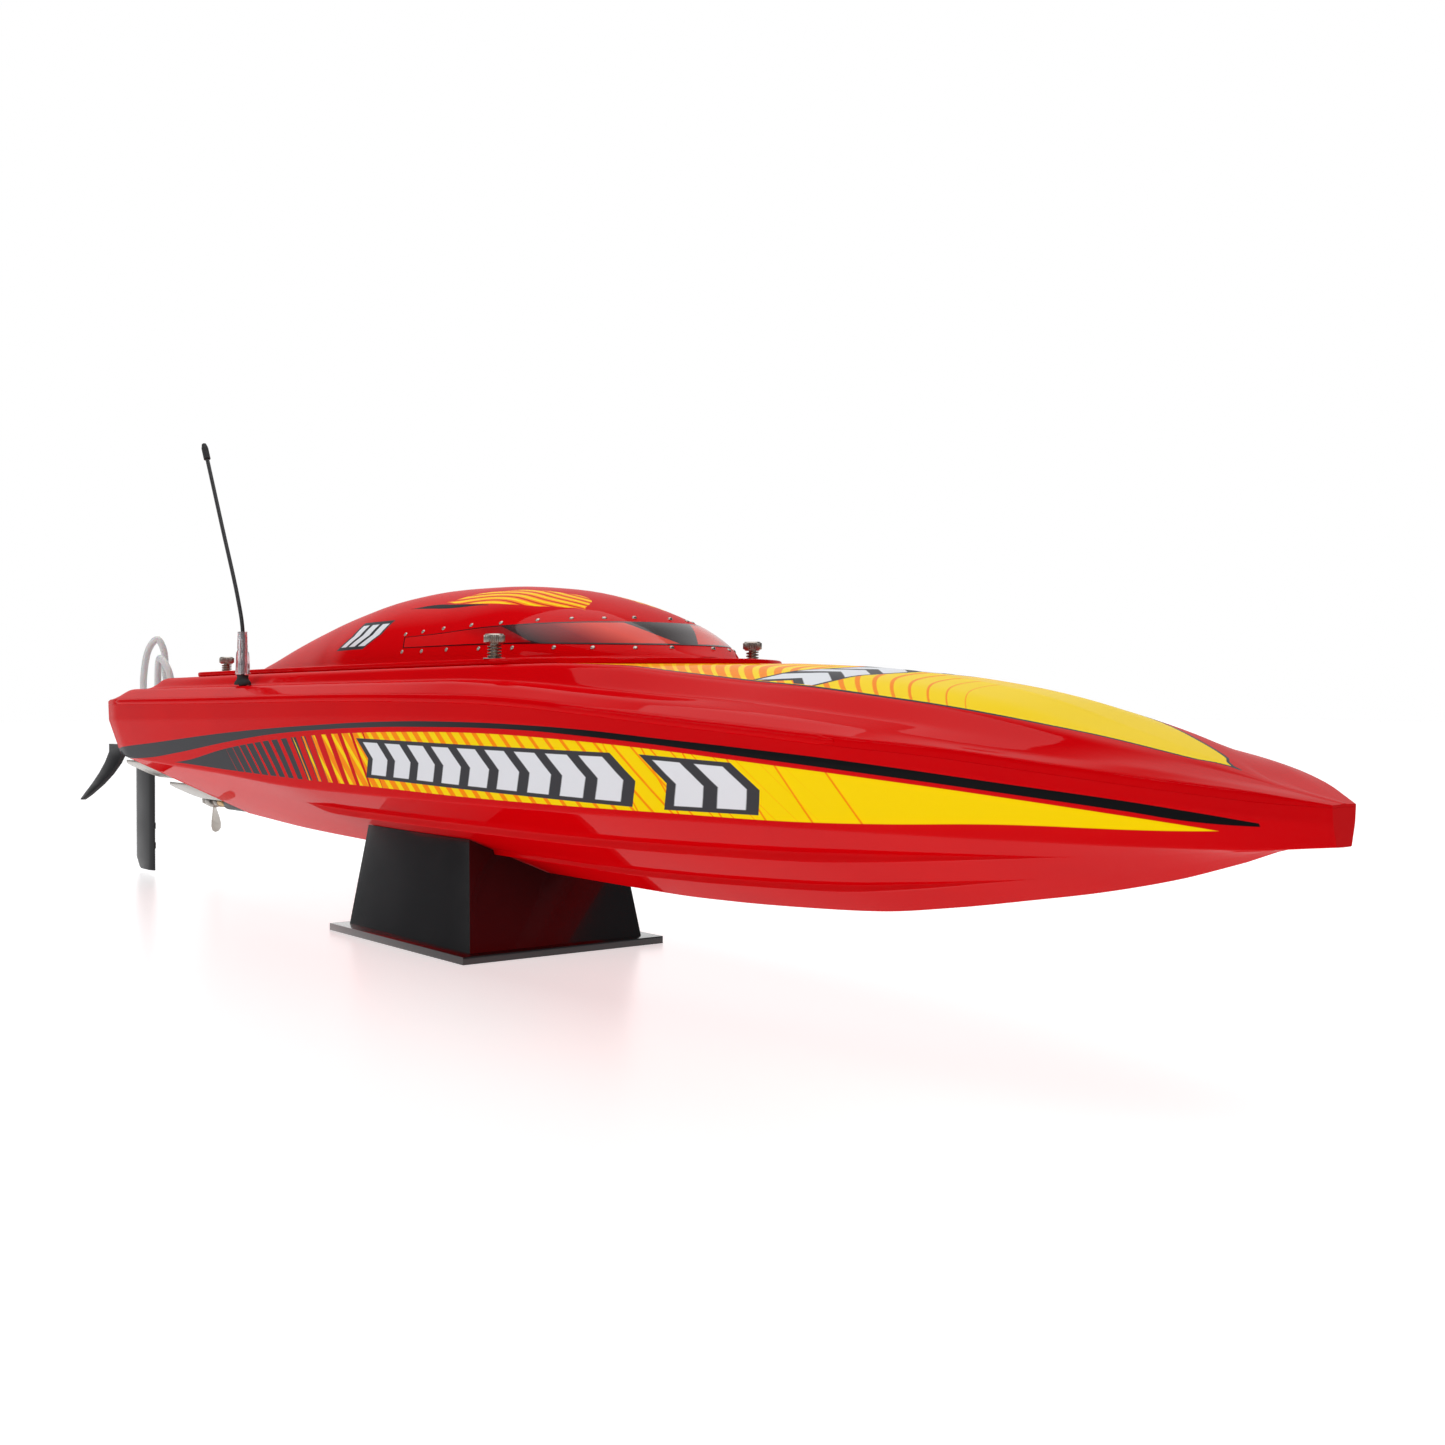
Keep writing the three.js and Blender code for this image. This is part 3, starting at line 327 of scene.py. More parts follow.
RED = (0.70, 0.0006, 0.002)
DEEP_RED = (0.33, 0.0, 0.002)
YELLOW = (1.0, 0.70, 0.0)
ORANGE = (1.0, 0.27, 0.0)
CHARCOAL = (0.05, 0.05, 0.056)
BLACK = (0.004, 0.004, 0.005)
WHITE = (0.78, 0.80, 0.84)


@dataclass(frozen=True)
class Finish:
    """A plain finish with fine grain, faint mottling and uneven gloss."""

    name: str
    slot: str
    colour: Colour
    roughness: float
    metallic: float = 0.0
    coat: float = 0.0
    grain: float = 900.0
    mottle: float = 0.12
    relief: float = 0.00002
    stretch: Colour = (1.0, 1.0, 1.0)
    transmission: float = 0.0
    subsurface: float = 0.0

    def build(self) -> bpy.types.Material:
        """The finish as a material."""
        g = Graph(self.name)
        fine = g.noise(self.grain, 4.0, self.stretch)
        broad = g.noise(self.grain / 30, 2.0)
        dark = tuple(c * (1 - 2 * self.mottle) for c in self.colour)
        light = tuple(min(1.0, c * (1 + 1.2 * self.mottle)) for c in self.colour)
        colour = g.mix(broad * 0.6 + fine * 0.4, dark, light)
        g.bump(fine, 0.35, self.relief)
        rough = self.roughness + (fine - 0.5) * 0.12 + (broad - 0.5) * 0.16
        return g.paint(base_color=colour, roughness=rough.at_least(0.03).at_most(1.0),
                       metallic=self.metallic, coat_weight=self.coat, coat_roughness=0.06,
                       transmission_weight=self.transmission, subsurface_weight=self.subsurface,
                       subsurface_scale=0.004)


class Stock(Enum):
    """The plain finishes, by what they are."""

    BLACK_GLOSS = Finish("black_gloss", "black_gloss", (0.006, 0.006, 0.007), 0.2, coat=0.6, relief=0.000008)
    BLACK_SATIN = Finish("black_satin", "black_satin", (0.014, 0.014, 0.016), 0.42, relief=0.00003)
    RUBBER = Finish("black_rubber", "black_rubber", (0.012, 0.012, 0.013), 0.7, relief=0.00005)
    STEEL = Finish("bright_steel", "bright_steel", (0.42, 0.38, 0.34), 0.3, 1.0, grain=1500)
    DARK_STEEL = Finish("spring_steel", "bright_steel", (0.26, 0.2, 0.15), 0.3, 1.0, grain=1500)
    ALLOY = Finish("alloy", "alloy", (0.62, 0.63, 0.64), 0.34, 1.0, stretch=(0.1, 1.0, 1.0))
    BLACK_ALLOY = Finish("black_alloy", "black_alloy", (0.016, 0.016, 0.018), 0.36, 0.4)
    BRASS = Finish("brass", "brass", (0.62, 0.38, 0.13), 0.25, 1.0, stretch=(0.2, 1.0, 1.0))
    SILICONE = Finish("clear_silicone", "clear_silicone", (0.74, 0.76, 0.76), 0.28, coat=0.25,
                      transmission=0.15, subsurface=0.3, mottle=0.04)
    SLEEVE = Finish("clear_sleeve", "clear_silicone", (0.8, 0.82, 0.84), 0.12, coat=0.5,
                    transmission=0.85, mottle=0.03)
    FOAM = Finish("foam", "foam", (0.8, 0.78, 0.7), 0.95, grain=700, relief=0.0004)
    WRAP = Finish("battery_wrap", "battery_wrap", (0.02, 0.07, 0.32), 0.3, coat=0.5)


def red_coat(g: Graph) -> bpy.types.NodeSocket:
    """The red gel coat's colour, a little deeper in broad patches."""
    return g.mix(g.noise(14.0, 2.0), RED, (0.60, 0.0, 0.003))


def gloss(g: Graph, colour: bpy.types.NodeSocket) -> bpy.types.Material:
    """A clear-coated surface over a colour, with a trace of orange peel and hand marks."""
    peel = g.noise(380.0, 2.0)
    marks = g.noise(55.0, 4.0)
    g.bump(peel, 0.25, 0.00003)
    rough = 0.26 + marks * 0.1
    return g.paint(base_color=colour, roughness=rough, coat_weight=0.22, coat_roughness=0.03,
                   coat_ior=1.27, specular_ior_level=0.0)
def outer_skin(g: Graph, colour: object) -> bpy.types.NodeSocket:
    """The colour on a shell's outer skin, and plain deep red on its inner one."""
    return g.mix(g.attribute("outside").above(0.5, 0.1), DEEP_RED, colour)


def chevron_run(g: Graph, colour: object, along: Value, across: Value, start: float, end: float,
                middle: "Value | float", half: "Value | float", pitch: float) -> object:
    """Lays a run of bold white chevrons with a dark outline over a colour.

    Args:
        g: the material's graph.
        colour: what lies under the run.
        along: millimetres along the run.
        across: millimetres across it.
        start: where the run starts.
        end: where it ends.
        middle: the run's centre line.
        half: half the run's height.
        pitch: millimetres from one chevron to the next.
    Returns:
        The colour with the run on it.
    """
    off = abs(across - middle)
    lean = along + off * 0.75
    step = ((lean - start) / pitch).fract()
    outline = off.below(half + 1.9) * lean.between(start - 2.0, end + 2.0)
    inside = off.below(half) * step.between(0.14, 0.80, 0.03) * lean.between(start, end)
    return g.mix(inside, g.mix(outline, colour, CHARCOAL), WHITE)


def hull_finish() -> bpy.types.Material:
    """Red gel coat with the side stripe, the slanted bars and the yellow field."""
    g = Graph("hull_coat")
    x, _y, z = g.place()
    colour: object = red_coat(g)
    top = g.curve(x, [(-19, 105.5), (4, 107), (83, 111.4), (252, 121.3), (379, 126.8), (475, 129.6),
                      (539, 129.8), (585, 129.0), (629, 127.4), (679, 124.2), (721, 121.4),
                      (776, 116.9), (827, 111.2), (863, 106.4), (883, 102.7), (897, 99.6), (915, 96)])
    low = g.curve(x, [(-19, 97.6), (4, 98.4), (72, 101.1), (131, 105.5), (248, 115.8), (318, 121),
                      (378, 124.0), (428, 125.8), (491, 127.0), (584, 126.6), (625, 124.8),
                      (678, 121.4), (720, 118.0), (774, 113.2), (825, 107.7), (861, 102.9),
                      (882, 99.4), (897, 98.4), (915, 98)])
    field_top = g.curve(x, [(118, 99), (245, 112), (316, 117.7), (376, 121.2), (427, 123.2),
                            (481, 124.4), (550, 124.7), (612, 122.9), (664, 120.2), (709, 116.9),
                            (742, 114.2), (772, 111.6), (824, 106.1), (860, 101.2), (886, 96.7),
                            (915, 90)])
    field_low = g.curve(x, [(118, 99.4), (235, 97.4), (360, 95.8), (420, 95.4), (532, 93.8),
                            (595, 93.4), (658, 93.1), (726, 92.7), (768, 93.8), (817, 96.0),
                            (886, 96.7), (915, 99)])
    field = z.between(field_low, field_top) * x.between(118, 886)
    lean = g.curve(x, [(118, 82), (262, 82), (378, 30), (676, 14), (915, 14)]) / 100.0
    slant = x + lean * (z - 100.0)
    step = (slant / 13.5).fract()
    bar_width = 1.0 - x.ramp(232, 470) * 0.98
    bars = (x.below(232, 6.0)).at_least(step.below(bar_width, 0.04)) * x.below(415, 3.0)
    shifted = (slant / 13.5 + 0.28).fract()
    streaks = abs(shifted - 0.5).below(x.ramp(340, 470) * 0.60, 0.04) * x.above(345, 2.0)
    hatch = ((slant + (z - 100.0) * 0.5) / 11.0).fract()
    orange = hatch.below(0.62 - x.ramp(420, 720) * 0.6, 0.05)
    threads = (slant / 23.0).fract().below(0.045, 0.02) * x.between(640, 770, 6.0)
    warm = g.mix(orange * x.below(735, 30.0), YELLOW, ORANGE)
    warm = g.mix(threads, warm, ORANGE)
    inside = g.mix(bars, colour, CHARCOAL)
    inside = g.mix(streaks, inside, warm)
    middle = 110.2 - x.ramp(430, 660) * 4.2 - x.ramp(660, 720) * 1.2
    half = 8.4 + x.ramp(430, 660) * 1.3 - x.ramp(660, 720) * 1.3
    inside = chevron_run(g, inside, x, z, 437.0, 650.0, middle, half, 23.6)
    inside = chevron_run(g, inside, x, z, 672.0, 718.0, middle, half, 23.0)
    colour = g.mix(field, colour, inside)
    stripe = z.between(low, top) * x.between(-18.8, 897)
    colour = g.mix(stripe, colour, g.mix(x.ramp(420, 640), CHARCOAL, BLACK))
    return gloss(g, outer_skin(g, colour))


def deck_finish() -> bpy.types.Material:
    """Red gel coat with the yellow foredeck panel and its thin arcs."""
    g = Graph("deck_coat")
    x, y, _z = g.place()
    colour: object = red_coat(g)
    out = abs(y)
    edge = g.curve(x, [(540, 84), (600, 77.5), (660, 68.8), (708, 63.2), (750, 56.4), (776, 49.3),
                       (813, 36.9), (839, 23.9), (863, 10.7), (876, 0.4), (915, 0.2)])
    panel = out.below(edge) * x.between(548, 876)
    arc = x - out * out * 0.0125
    step = ((766.0 - arc) / 9.6).fract()
    width = (766.0 - arc).ramp(0.0, 150.0) * 0.62 + 0.05
    ribs = step.below(width, 0.05) * arc.below(767, 0.3)
    warm = g.mix(ribs, YELLOW, ORANGE)
    warm = g.mix(x.ramp(660, 590), warm, (1.0, 0.36, 0.01))
    rim = out.above(edge - 1.7) * x.above(590, 8.0)
    colour = g.mix(panel, colour, g.mix(rim, warm, CHARCOAL))
    run = chevron_run(g, colour, y + 200.0, x, 146.0, 254.0, 706.0, 15.0, 21.0)
    colour = g.mix(panel * out.below(edge - 2.4), colour, run)
    return gloss(g, outer_skin(g, colour))


def canopy_finish() -> bpy.types.Material:
    """Red gel coat with flame stripes on the crown, a dark swoosh and a slanted flash."""
    g = Graph("canopy_coat")
    x, y, z = g.place()
    colour: object = red_coat(g)
    out = abs(y)
    start, end = 388, 508
    inner = g.curve(x, [(start, 43), (405, 34), (420, 28), (445, 20), (465, 17), (485, 13), (498, 17),
                        (end, 27)])
    outer = g.curve(x, [(start, 43), (405, 45), (426, 45.2), (450, 43.6), (476, 39.6), (495, 33),
                        (end, 27.5)])
    region = out.between(inner, outer) * x.between(start, end)
    wave = (out * 0.9 + (x * 0.075).sin() * 1.6 + x * 0.06) / 4.6
    step = wave.fract()
    flames = g.mix(step.between(0.3, 0.62, 0.12), ORANGE, YELLOW)
    colour = g.mix(region * step.between(0.08, 0.86, 0.08), colour, flames)
    swoosh_low = g.curve(x, [(352, 47.5), (380, 45.2), (405, 46.0), (440, 45.4)])
    swoosh_high = g.curve(x, [(352, 47.6), (380, 48.6), (405, 49.2), (440, 46.0)])
    swoosh = out.between(swoosh_low, swoosh_high) * x.between(352, 440) * z.above(165)
    colour = g.mix(swoosh, colour, BLACK)
    flash = chevron_run(g, colour, x - (z - 178.0) * 1.2, z, 302.0, 342.0, 178.6, 6.4, 14.0)
    colour = g.mix(out.above(38) * x.between(280, 372), colour, flash)
    return gloss(g, colour)


def window_finish() -> bpy.types.Material:
    """The printed window band: a red lead-in, then smoked glass with a warm glow and a black post."""
    g = Graph("window_print")
    u, v = g.surface_map("band")
    slant = u - (1.0 - v) * 19.0
    glow = g.mix(slant.ramp(104, 138), (0.03, 0.002, 0.004), (0.26, 0.0, 0.003))
    glow = g.mix(slant.ramp(136, 160), glow, (0.72, 0.03, 0.006))
    glow = g.mix(slant.above(177, 0.8), glow, (0.012, 0.001, 0.002))
    lead = g.mix(slant.ramp(60, 102), RED, (0.25, 0.0, 0.003))
    colour = g.mix(slant.above(100, 0.8), lead, glow)
    border = v.below(0.055, 0.02).at_least(v.above(0.945, 0.02)).at_least(u.below(1.2, 0.3))
    colour = g.mix(border, colour, (0.02, 0.0, 0.002))
    g.bump(g.noise(300.0, 2.0), 0.15, 0.00002)
    return g.paint(base_color=colour, roughness=0.16 + g.noise(40.0) * 0.06, coat_weight=0.35,
                   coat_roughness=0.02, coat_ior=1.3, specular_ior_level=0.05)


# ------------------------------------------------------------------ meshes


Ring = list[Point]


class Axis(Enum):
    """Which way a turned piece points."""

    X = "x"
    Y = "y"
    Z = "z"


def circle(count: int) -> list[tuple[float, float]]:
    """Cosine and sine of evenly spaced turns."""
    turns = [2 * math.pi * k / count for k in range(count)]
    return [(math.cos(t), math.sin(t)) for t in turns]


def spin(profile: Iterable[tuple[float, float]], axis: Axis, at: Point, sides: int) -> tuple[list, list]:
    """Vertices and faces of a closed profile turned about an axis; radius 0 is a single point."""
    rows = list(profile)
    vertices: list[Point] = []
    index: list[list[int]] = []
    for radius, height in rows:
        if radius < TINY:
            index.append([len(vertices)] * sides)
            vertices.append((0.0, 0.0, height))
            continue
        index.append(list(range(len(vertices), len(vertices) + sides)))
        vertices += [(radius * c, radius * s, height) for c, s in circle(sides)]
    open_ends = rows[0][0] < TINY and rows[-1][0] < TINY
    pairs = list(zip(index, index[1:])) + ([] if open_ends else [(index[-1], index[0])])
    faces = []
    for a, b in pairs:
        for k in range(sides):
            n = (k + 1) % sides
            corner = list(dict.fromkeys([a[k], a[n], b[n], b[k]]))
            if len(corner) > 2:
                faces.append(corner)
    order = {Axis.X: (2, 0, 1), Axis.Y: (1, 2, 0), Axis.Z: (0, 1, 2)}[axis]
    return [tuple(p[k] + o for k, o in zip(order, at)) for p in vertices], faces


class Shape:
    """A mesh under construction in the boat's millimetres."""

    def __init__(self) -> None:
        self.bm = bmesh.new()

    def add(self, vertices: Sequence[Point], faces: Sequence[Sequence[int]], bevel: float = 0.0,
            segments: int = 2) -> "Shape":
        """Adds a closed body, with its sharp edges rounded.

        Args:
            vertices: points in millimetres.
            faces: corners of each face.
            bevel: radius of the rounding.
            segments: steps in it.
        Returns:
            This shape.
        """
        part = bmesh.new()
        made = [part.verts.new(v) for v in vertices]
        for face in faces:
            if len(set(face)) > 2:
                part.faces.new([made[k] for k in face])
        bmesh.ops.recalc_face_normals(part, faces=part.faces)
        if bevel > 0:
            sharp = [e for e in part.edges if len(e.link_faces) == 2 and e.calc_face_angle(0) > SHARP_EDGE]
            bmesh.ops.bevel(part, geom=sharp, offset=bevel, segments=segments, profile=0.5,
                            affect="EDGES", clamp_overlap=True)
        mesh = bpy.data.meshes.new("part")
        part.to_mesh(mesh)
        part.free()
        self.bm.from_mesh(mesh)
        bpy.data.meshes.remove(mesh)
        return self

    def box(self, x: tuple[float, float], y: tuple[float, float], z: tuple[float, float],
            bevel: float = 0.5) -> "Shape":
        """Adds a box between limits on each axis."""
        corners = [(a, b, c) for a in x for b in y for c in z]
        faces = [(0, 1, 3, 2), (4, 6, 7, 5), (0, 4, 5, 1), (2, 3, 7, 6), (0, 2, 6, 4), (1, 5, 7, 3)]
        return self.add(corners, faces, bevel)

    def turned(self, profile: Iterable[tuple[float, float]], axis: Axis, at: Point,
               sides: int = 48) -> "Shape":
        """Adds a profile of (radius, height) turned about an axis."""
        return self.add(*spin(profile, axis, at, sides))

    def rod(self, radius: float, start: float, end: float, axis: Axis, at: Point, sides: int = 32,
            ease: float = 0.25) -> "Shape":
        """Adds a round bar with eased ends."""
        e = min(ease, radius * 0.4)
        profile = [(0, start), (radius - e, start), (radius, start + e), (radius, end - e),
                   (radius - e, end), (0, end)]
        return self.turned(profile, axis, at, sides)

    def prism(self, outline: Sequence[tuple[float, float]], plane: str, start: float, end: float,
              bevel: float = 0.4) -> "Shape":
        """Adds a flat outline made thick; plane is xy, xz or yz."""
        order = {"xy": (0, 1, 2), "xz": (0, 2, 1), "yz": (2, 0, 1)}[plane]
        count = len(outline)
        vertices = [tuple((u, v, w)[k] for k in order) for w in (start, end) for u, v in outline]
        faces = [list(range(count)), list(range(count, 2 * count))]
        faces += [(k, (k + 1) % count, count + (k + 1) % count, count + k) for k in range(count)]
        return self.add(vertices, faces, bevel)

    def loft(self, rings: Sequence[Ring], bevel: float = 0.0) -> "Shape":
        """Adds a closed body through rings of equal length."""
        count = len(rings[0])
        vertices = [p for ring in rings for p in ring]
        faces: list = [list(range(count)), list(range(len(vertices) - count, len(vertices)))]
        for r in range(len(rings) - 1):
            for k in range(count):
                n = (k + 1) % count
                faces.append((r * count + k, r * count + n, (r + 1) * count + n, (r + 1) * count + k))
        return self.add(vertices, faces, bevel)

    def tube(self, points: Sequence[Point], radius: float, sides: int = 20, steps: int = 10,
             taper: Callable[[float], float] = lambda t: 1.0) -> "Shape":
        """Adds a round cord along a smooth path through points."""
        path = smooth_path(points, steps)
        rings = []
        normal = Vector((0.0, 0.0, 1.0))
        for k, spot in enumerate(path):
            ahead = (path[min(k + 1, len(path) - 1)] - path[max(k - 1, 0)]).normalized()
            if abs(ahead.dot(normal)) > 0.95:
                normal = Vector((1.0, 0.0, 0.0))
            side = ahead.cross(normal).normalized()
            normal = side.cross(ahead).normalized()
            r = radius * taper(k / (len(path) - 1))
            rings.append([tuple(spot + r * (c * side + s * normal)) for c, s in circle(sides)])
        return self.loft(rings)

    def join(self, other: bpy.types.Mesh) -> "Shape":
        """Adds a mesh that is already in millimetres."""
        self.bm.from_mesh(other)
        return self

    def mesh(self, name: str) -> bpy.types.Mesh:
        """The shape as a mesh, still in millimetres."""
        made = bpy.data.meshes.new(name)
        self.bm.to_mesh(made)
        self.bm.free()
        return made


def blend(a: Vector, b: Vector, start: float, end: float, t: float) -> Vector:
    """The place between a, met at start, and b, met at end."""
    return a * ((end - t) / (end - start)) + b * ((t - start) / (end - start))


def smooth_path(points: Sequence[Point], steps: int) -> list[Vector]:
    """Points along a centripetal spline through the given ones."""
    spots = [Vector(p) for p in points]
    spots = [2 * spots[0] - spots[1], *spots, 2 * spots[-1] - spots[-2]]
    path = []
    for i in range(1, len(spots) - 2):
        p = spots[i - 1:i + 3]
        knots = [0.0]
        for a, b in zip(p, p[1:]):
            knots.append(knots[-1] + max((b - a).length, 1e-4) ** 0.5)
        for k in range(steps):
            t = knots[1] + (knots[2] - knots[1]) * k / steps
            near = [blend(p[j], p[j + 1], knots[j], knots[j + 1], t) for j in range(3)]
            wide = [blend(near[j], near[j + 1], knots[j], knots[j + 2], t) for j in range(2)]
            path.append(blend(*wide, knots[1], knots[2], t))
    path.append(spots[-2])
    return path


def run_lengths(points: Sequence[Vector]) -> list[float]:
    """Distance along a broken line from its start to each of its points."""
    run = [0.0]
    for a, b in zip(points, points[1:]):
        run.append(run[-1] + (b - a).length)
    return run


def even(track: Sequence[Vector], count: int) -> list[Vector]:
    """The same track with evenly spaced points."""
    run = run_lengths(track)
    spots, k = [], 0
    for n in range(count + 1):
        goal = run[-1] * n / count
        while k < len(run) - 2 and run[k + 1] < goal:
            k += 1
        share = (goal - run[k]) / max(run[k + 1] - run[k], 1e-9)
        spots.append(track[k].lerp(track[k + 1], min(1.0, max(0.0, share))))
    return spots


def apply(obj: bpy.types.Object, kind: str, **settings: object) -> None:
    """Adds a modifier of that kind and bakes it into the mesh."""
    modifier = obj.modifiers.new(kind.lower(), kind)
    for key, value in settings.items():
        setattr(modifier, key, value)
    baked = bpy.data.meshes.new_from_object(obj.evaluated_get(bpy.context.evaluated_depsgraph_get()))
    obj.modifiers.clear()
    obj.data = baked


def stand_in(name: str, mesh: bpy.types.Mesh) -> bpy.types.Object:
    """A scene object that holds a mesh while it is worked on."""
    obj = bpy.data.objects.new(name, mesh)
    bpy.context.scene.collection.objects.link(obj)
    return obj


@dataclass(frozen=True)
class Piece:
    """A finished piece and where it belongs."""

    name: str
    body: str
    material: bpy.types.Material
    slot: str
    nodes: tuple[str, ...]

    def place(self, obj: bpy.types.Object, crease: float = 30.0) -> bpy.types.Object:
        """Turns a mesh in millimetres into the finished piece in the frame's metres."""
        obj.name = self.name
        obj.data.name = self.name
        obj.data.transform(Matrix.Translation((FRAME_SHIFT_X * MM, 0, 0)) @ Matrix.Scale(MM, 4))
        obj.data.materials.clear()
        obj.data.materials.append(self.material)
        for face in obj.data.polygons:
            face.material_index = 0
        obj.data.shade_smooth()
        obj.data.set_sharp_from_angle(angle=math.radians(crease))
        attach(obj, self.body)
        if self.nodes:
            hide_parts(*self.nodes)
        return obj


class Workshop:
    """Makes pieces and keeps one material of each finish."""

    def __init__(self) -> None:
        self._made: dict[str, bpy.types.Material] = {}

    def stock(self, kind: Stock) -> bpy.types.Material:
        """The material of a plain finish."""
        if kind.name not in self._made:
            self._made[kind.name] = kind.value.build()
        return self._made[kind.name]

    def make(self, name: str, body: str, shape: Shape, kind: Stock, *nodes: str,
             crease: float = 30.0) -> bpy.types.Object:
        """Finishes a shape in a plain finish."""
        piece = Piece(name, body, self.stock(kind), kind.value.slot, nodes)
        return piece.place(stand_in(name, shape.mesh(name)), crease)

    def repeat(self, unit: Shape, spots: Sequence[tuple[Point, Point]], kind: Stock) -> bpy.types.Mesh:
        """Copies a small part to many places with Geometry Nodes.

        Args:
            unit: the part, centred on the origin and pointing up.
            spots: place and Euler turn of each copy.
            kind: the finish of the copies.
        Returns:
            One mesh of all the copies, in millimetres.
        """
        unit_obj = stand_in("unit", unit.mesh("unit"))
        seeds = bpy.data.meshes.new("spots")
        seeds.from_pydata([place for place, _ in spots], [], [])
        turn = seeds.attributes.new("turn", "FLOAT_VECTOR", "POINT")
        for item, (_, angle) in zip(turn.data, spots):
            item.vector = angle
        host = stand_in("spots", seeds)
        tree, keys = copies_tree()
        modifier = host.modifiers.new("copies", "NODES")
        modifier.node_group = tree
        modifier[keys["Unit"]] = unit_obj
        modifier[keys["Material"]] = self.stock(kind)
        bpy.context.view_layer.update()
        baked = bpy.data.meshes.new_from_object(host.evaluated_get(bpy.context.evaluated_depsgraph_get()))
        host.modifiers.clear()
        bpy.data.objects.remove(host)
        bpy.data.objects.remove(unit_obj)
        return baked

    def scatter(self, name: str, body: str, unit: Shape, spots: Sequence[tuple[Point, Point]],
                kind: Stock) -> bpy.types.Object:
        """Finishes many copies of a small part as one piece."""
        mesh = self.repeat(unit, spots, kind)
        piece = Piece(name, body, self.stock(kind), kind.value.slot, ())
        return piece.place(stand_in(name, mesh), 40.0)


def copies_tree() -> tuple[bpy.types.NodeTree, dict[str, str]]:
    """The node tree that puts a unit on every point, and its inputs' identifiers by name."""
    tree = bpy.data.node_groups.get("copies")
    if tree is None:
        tree = bpy.data.node_groups.new("copies", "GeometryNodeTree")
        for name, way, kind in (("Geometry", "INPUT", "Geometry"), ("Unit", "INPUT", "Object"),
                                ("Material", "INPUT", "Material"), ("Geometry", "OUTPUT", "Geometry")):
            tree.interface.new_socket(name, in_out=way, socket_type=f"NodeSocket{kind}")
        kinds = {"entry": "NodeGroupInput", "leave": "NodeGroupOutput", "info": "GeometryNodeObjectInfo",
                 "named": "GeometryNodeInputNamedAttribute", "turned": "FunctionNodeEulerToRotation",
                 "placed": "GeometryNodeInstanceOnPoints", "solid": "GeometryNodeRealizeInstances",
                 "coated": "GeometryNodeSetMaterial"}
        nodes = {key: tree.nodes.new(kind) for key, kind in kinds.items()}
        nodes["named"].data_type = "FLOAT_VECTOR"
        nodes["named"].inputs["Name"].default_value = "turn"
        for source, leaving, target, entering in (
                ("entry", "Unit", "info", "Object"), ("named", "Attribute", "turned", 0),
                ("entry", "Geometry", "placed", "Points"), ("info", "Geometry", "placed", "Instance"),
                ("turned", 0, "placed", "Rotation"), ("placed", 0, "solid", 0),
                ("solid", 0, "coated", "Geometry"), ("entry", "Material", "coated", "Material"),
                ("coated", 0, "leave", 0)):
            tree.links.new(nodes[source].outputs[leaving], nodes[target].inputs[entering])
    keys = {s.name: s.identifier for s in tree.interface.items_tree if s.in_out == "INPUT"}
    return tree, keys


# ------------------------------------------------------------------ sections


def rounded(corners: Sequence[tuple[float, float]], radii: Sequence[float], steps: int = 4) -> list:
    """A broken line with its inner corners eased.

    Args:
        corners: the line's points.
        radii: how far back from each inner corner the easing starts.
        steps: pieces in each easing.
    Returns:
        The eased line, always with the same number of points.
    """
    spots = [Vector(c) for c in corners]
    line_out = [spots[0]]
    for before, corner, after, radius in zip(spots, spots[1:], spots[2:], radii):
        back, on = before - corner, after - corner
        reach = min(radius, 0.3 * back.length, 0.3 * on.length)
        start = corner + back.normalized() * reach
        end = corner + on.normalized() * reach
        line_out.append(corner + back.normalized() * reach * 1.5)
        for k in range(steps + 1):
            t = k / steps
            line_out.append(start * (1 - t) ** 2 + corner * 2 * t * (1 - t) + end * t * t)
        line_out.append(corner + on.normalized() * reach * 1.5)
    line_out.append(spots[-1])
    return [tuple(p) for p in line_out]


def stations(start: float, end: float, step: float) -> list[float]:
    """Evenly spaced places from start to end."""
    count = max(1, round((end - start) / step))
    return [start + (end - start) * k / count for k in range(count + 1)]


Section = Sequence[tuple[float, float]]


def shell(outer: Sequence[tuple[float, Section]], inner: Sequence[tuple[float, Section]]) -> bpy.types.Mesh:
    """A closed shell between an outer and an inner skin.

    Args:
        outer: (x, [(y, z) ...]) sections of the outer skin, from one rim to the other.
        inner: as many sections of the inner skin.
    Returns:
        The shell, with both ends and the rims closed.
    """
    mesh = bmesh.new()
    skins = [[[mesh.verts.new((x, y, z)) for y, z in ring] for x, ring in side] for side in (outer, inner)]
    for rows in skins:
        for a, b in zip(rows, rows[1:]):
            for k in range(len(a) - 1):
                mesh.faces.new((a[k], b[k], b[k + 1], a[k + 1]))
        mesh.faces.new(rows[0])
        mesh.faces.new(rows[-1])
    out, into = skins
    for k in (0, -1):
        for i in range(len(out) - 1):
            mesh.faces.new((out[i][k], out[i + 1][k], into[i + 1][k], into[i][k]))
    for end in (0, -1):
        mesh.faces.new((out[end][0], out[end][-1], into[end][-1], into[end][0]))
    bmesh.ops.recalc_face_normals(mesh, faces=mesh.faces)
    made = bpy.data.meshes.new("shell")
    mesh.to_mesh(made)
    mesh.free()
    painted = made.attributes.new("outside", "FLOAT", "POINT")
    count = sum(len(ring) for _, ring in outer)
    for k, item in enumerate(painted.data):
        item.value = 1.0 if k < count else 0.0
    return made


def both_sides(half: Sequence[tuple[float, float]]) -> list[tuple[float, float]]:
    """A section from port to starboard, given its half from the middle outwards."""
    return [*reversed(half), *[(-y, z) for y, z in half[1:]]]


